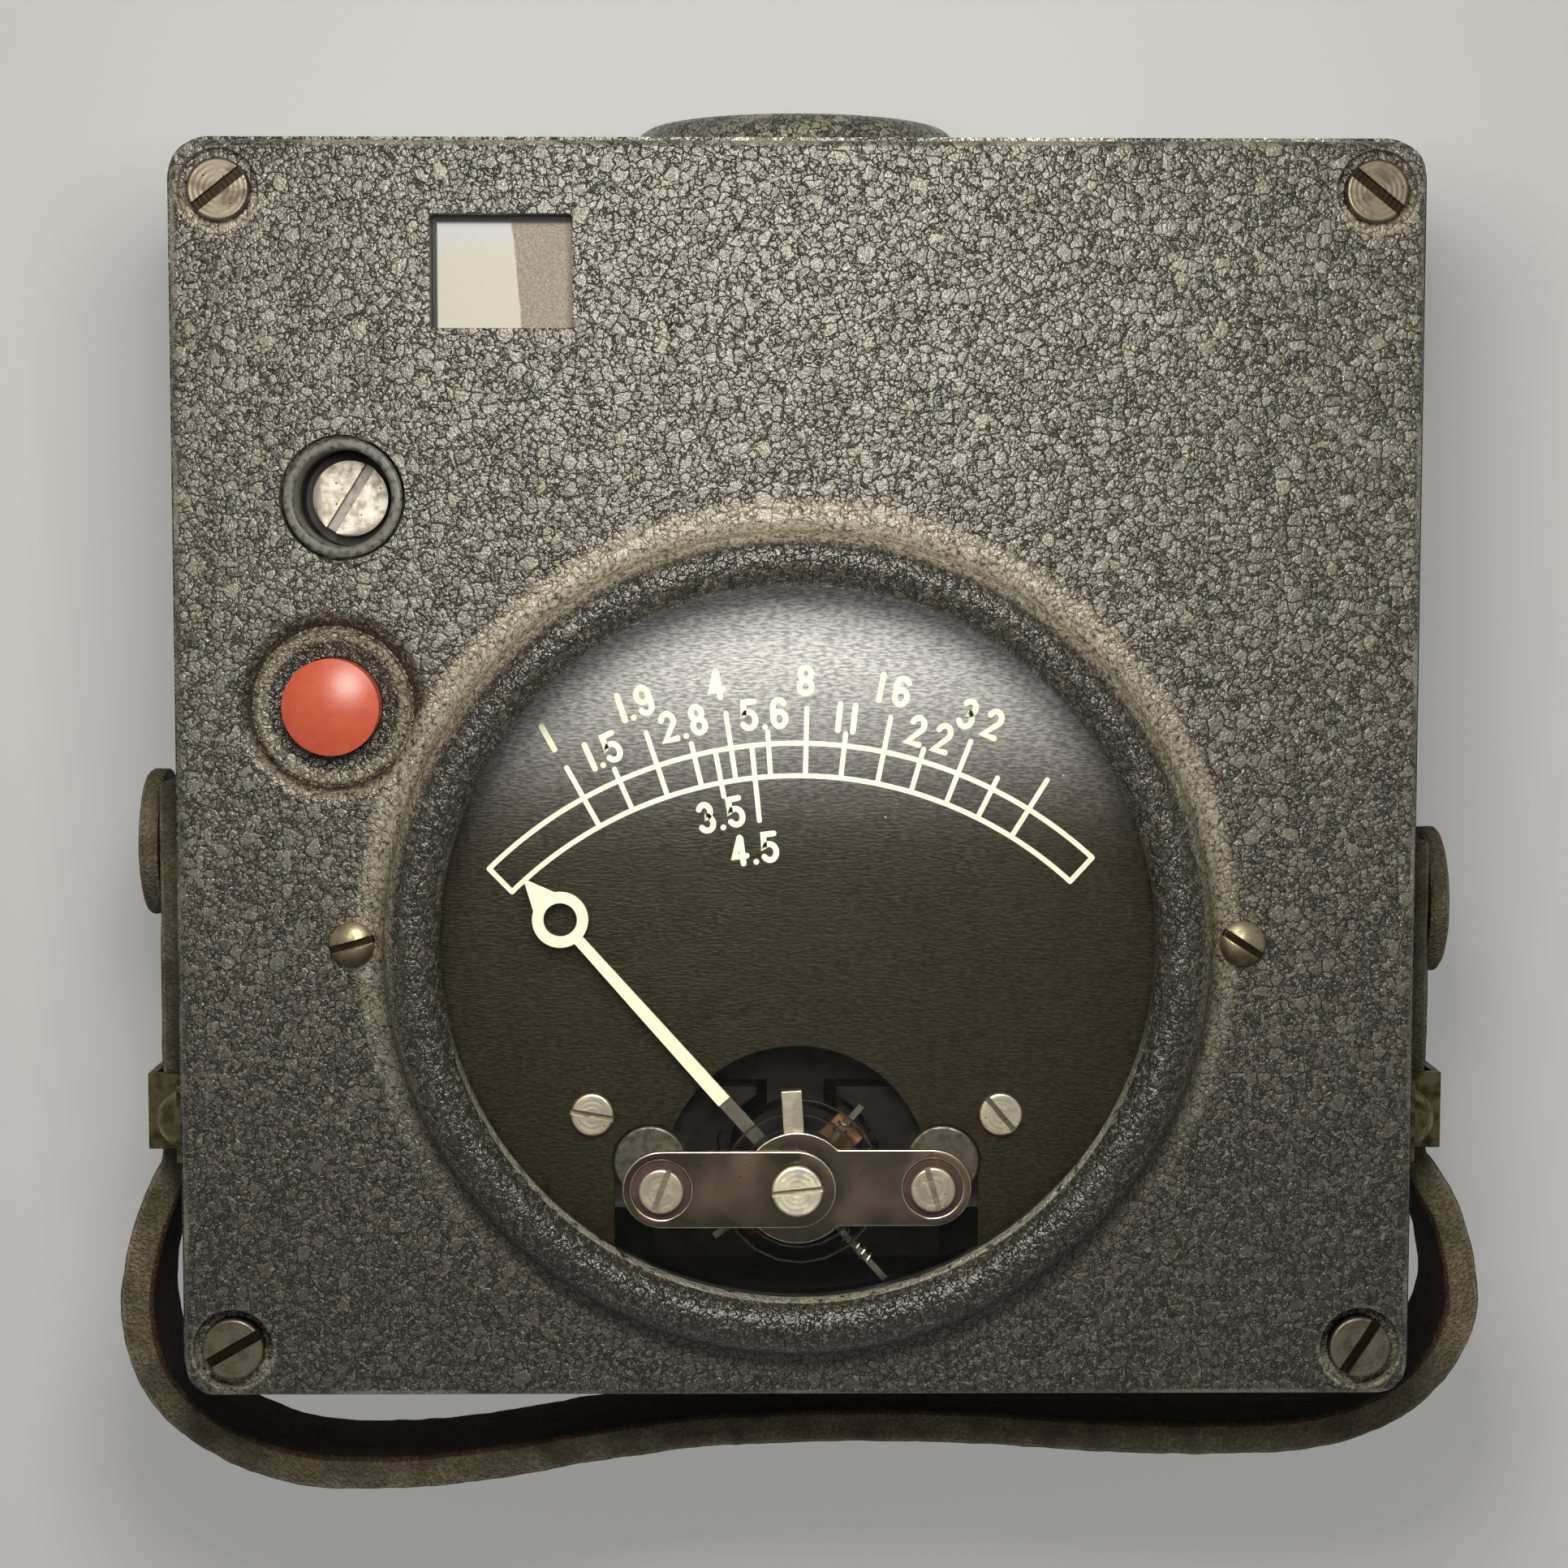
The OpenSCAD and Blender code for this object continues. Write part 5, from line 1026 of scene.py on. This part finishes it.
# Radius and height of the stop's rings, and the faces after some of them that aren't grain
STOP_PROFILE = [(STOP_HUB, STOP_THICK), (3.0, STOP_THICK), (6.3, STOP_THICK - 0.04),
                (STOP_R, STOP_THICK - 0.32), (STOP_R, STOP_THICK / 2), (STOP_R - 0.05, 0.0), (3.0, 0.0),
                (STOP_HUB, 0.0)]
STOP_KINDS = {2: PALE, 3: CUT, 4: CUT}


def strap_route():
    """The strap's centre line from its left end round below the case to its right end."""
    left = [(-STRAP_X - out, STRAP_BOTTOM - below) for out, below in LEFT_BOW]
    under = [(share * STRAP_X, STRAP_BOTTOM - drop) for share, drop in UNDER_RUN]
    right = [(STRAP_X + out, STRAP_BOTTOM - below) for out, below in reversed(RIGHT_BOW)]
    return smooth([Vector(p) for p in LEFT_ENDS + left + under + right + RIGHT_ENDS], ROUTE_STEPS)


def smooth(points, steps):
    """A Catmull-Rom curve through points."""
    padded = [2 * points[0] - points[1]] + points + [2 * points[-1] - points[-2]]
    curve = []
    for a, b, c, d in zip(padded, padded[1:], padded[2:], padded[3:]):
        for i in range(steps):
            t = i / steps
            curve.append(0.5 * (2 * b + (c - a) * t + (2 * a - 5 * b + 4 * c - d) * t ** 2
                                + (3 * b - a - 3 * c + d) * t ** 3))
    return curve + [points[-1]]


def strap_section(half_thick, half_wide):
    """Outline of the strap: (towards the case, up, face kind), with rounded corners."""
    flat_u = half_thick - EDGE_ROUND
    flat_v = half_wide - EDGE_ROUND
    steps_v = [-flat_v + 2 * flat_v * i / FACE_PARTS for i in range(FACE_PARTS + 1)]
    steps_u = [-flat_u + 2 * flat_u * i / EDGE_PARTS for i in range(EDGE_PARTS + 1)]
    bend_u = flat_u + EDGE_ROUND * math.sqrt(0.5)
    bend_v = flat_v + EDGE_ROUND * math.sqrt(0.5)
    runs = [([(half_thick, v) for v in steps_v] + [(bend_u, bend_v)], FLESH, LIP, LIP),
            ([(-u, half_wide) for u in steps_u] + [(-bend_u, bend_v)], CUT, PALE, GRAIN),
            ([(-half_thick, -v) for v in steps_v] + [(-bend_u, -bend_v)], GRAIN, GRAIN, PALE),
            ([(u, -half_wide) for u in steps_u] + [(bend_u, -bend_v)], CUT, LIP, LIP)]
    section = []
    for points, along, last, corner in runs:
        kinds = [along] * (len(points) - 2) + [last, corner]
        section += [(u, v, kind) for (u, v), kind in zip(points, kinds)]
    return section


def strap_heights():
    """The height of the strap's middle and half its width, in millimetres."""
    low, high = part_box("strap")
    return (low.z + high.z) / 2 / MM, (high.z - low.z) / 2 / MM


def wander(place, size, deep):
    """A push inwards by up to deep, from noise of this size; places are in millimetres."""
    return deep * (0.5 + 0.5 * noise.fractal(place / size, 0.8, 2.0, 3))


def strap_ring(mesh, point, ahead, section, middle, half_wide):
    """Points of the strap's outline at one point of its route, slightly ragged."""
    inward = Vector((-ahead.y, ahead.x))
    ring = []
    for u, v, _ in section:
        place = Vector((point.x + inward.x * u, point.y + inward.y * u, middle + v))
        thin = wander(place, *FACE_WANDER) * u / (STRAP_THICK / 2)
        short = wander(place + WANDER_APART, *EDGE_WANDER) * v / half_wide
        place -= Vector((inward.x * thin, inward.y * thin, short))
        ring.append(mesh.verts.new(place * MM))
    return ring


def make_strap(materials):
    """The leather strap: a flat band on edge with slightly ragged cut edges."""
    middle, half_wide = strap_heights()
    route = strap_route()
    section = strap_section(STRAP_THICK / 2, half_wide)
    mesh = bmesh.new()
    rings = []
    for i, point in enumerate(route):
        ahead = (route[min(i + 1, len(route) - 1)] - route[max(i - 1, 0)]).normalized()
        rings.append(strap_ring(mesh, point, ahead, section, middle, half_wide))
    join_rings(mesh, rings, lambda row, i: section[i][2])
    for ring in (rings[0], rings[-1][::-1]):
        mesh.faces.new(ring).material_index = CUT
    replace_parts(add_piece("leather_strap", mesh, materials, "strap"), "strap")


def stop_ring(mesh, side, middle, radius, out):
    """Points round a stop at a height out from the strap, slightly out of round."""
    hub = Vector((side * (STRAP_X + STRAP_THICK / 2 + out), STOP_Y[side], middle))
    ring = []
    for i in range(STOP_TURNS):
        turn = 2 * math.pi * i / STOP_TURNS
        arm = Vector((0, radius * math.cos(turn), radius * math.sin(turn)))
        pull = 1 - wander(hub + arm, *STOP_WANDER) if radius > STOP_HUB else 1
        ring.append(mesh.verts.new((hub + arm * pull) * MM))
    return ring


def make_stops(materials):
    """A round leather stop on each end of the strap, with a pale raw edge."""
    middle = strap_heights()[0]
    mesh = bmesh.new()
    for side in STOP_Y:
        rings = [stop_ring(mesh, side, middle, radius, out) for radius, out in STOP_PROFILE]
        join_rings(mesh, rings, lambda row, i: STOP_KINDS.get(row, GRAIN))
        for ring in (rings[0], rings[-1]):
            mesh.faces.new(ring)
    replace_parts(add_piece("leather_stops", mesh, materials, "strap"), "strap_stops")


def make_leather():
    """The strap and its stops, with materials in the order of the face kinds."""
    materials = [leather("leather_grain", (0.03, 0.0235, 0.017), (0.06, 0.048, 0.034), 0.9, 0.1, 0.5),
                 leather("leather_cut", (0.215, 0.18, 0.115), (0.41, 0.355, 0.24), 0.5, 0.2, 0.9),
                 # Flesh side darker than the grain: dark leather, with painted shade for the gap between
                 # strap and case
                 leather("leather_flesh", (0.018, 0.012, 0.007), (0.04, 0.027, 0.015), 0.6, 0.15, 0.85),
                 leather("leather_pale", (0.3, 0.265, 0.18), (0.5, 0.455, 0.335), 0.4, 0.12, 0.9),
                 leather("leather_lip", (0.12, 0.066, 0.03), (0.28, 0.18, 0.095), 0.35, 0.3, 0.9)]
    make_strap(materials)
    make_stops(materials)


# Stage

FLOOR_HALF = 6.0
FLOOR_CORNERS = [(-1, -1), (1, -1), (1, 1), (-1, 1)]
FLOOR_COLOURS = ((0.55, 0.55, 0.54), (0.58, 0.58, 0.57))
FLOOR_GLOW = (1.0, 1.0, 0.98)
FLOOR_SHOWN = 0.25


def make_floor():
    """A plain pale floor under the case, a little brighter to the camera, metal and glass."""
    mesh = bmesh.new()
    corners = [(x * FLOOR_HALF, y * FLOOR_HALF, cad_box[0].z) for x, y in FLOOR_CORNERS]
    mesh.faces.new([mesh.verts.new(corner) for corner in corners])
    data = bpy.data.meshes.new("floor")
    mesh.to_mesh(data)
    mesh.free()
    look = Look("floor_pale", Roughness=0.9, Emission_Color=FLOOR_GLOW)
    look.set(Base_Color=look.mix(look.noise(60.0), *FLOOR_COLOURS),
             Emission_Strength=look.range(shown_rays(look.tree), 0.0, FLOOR_SHOWN))
    data.materials.append(look.material)
    floor = bpy.data.objects.new("floor", data)
    bpy.context.scene.collection.objects.link(floor)


bpy.context.scene.view_settings.view_transform = "Standard"
make_camera()
make_world()
make_lamp()
make_floor()
dress_outside()
dress_movement()
dress_inside()
dress_edges()
make_dial_print()
make_button_spring()
make_leather()
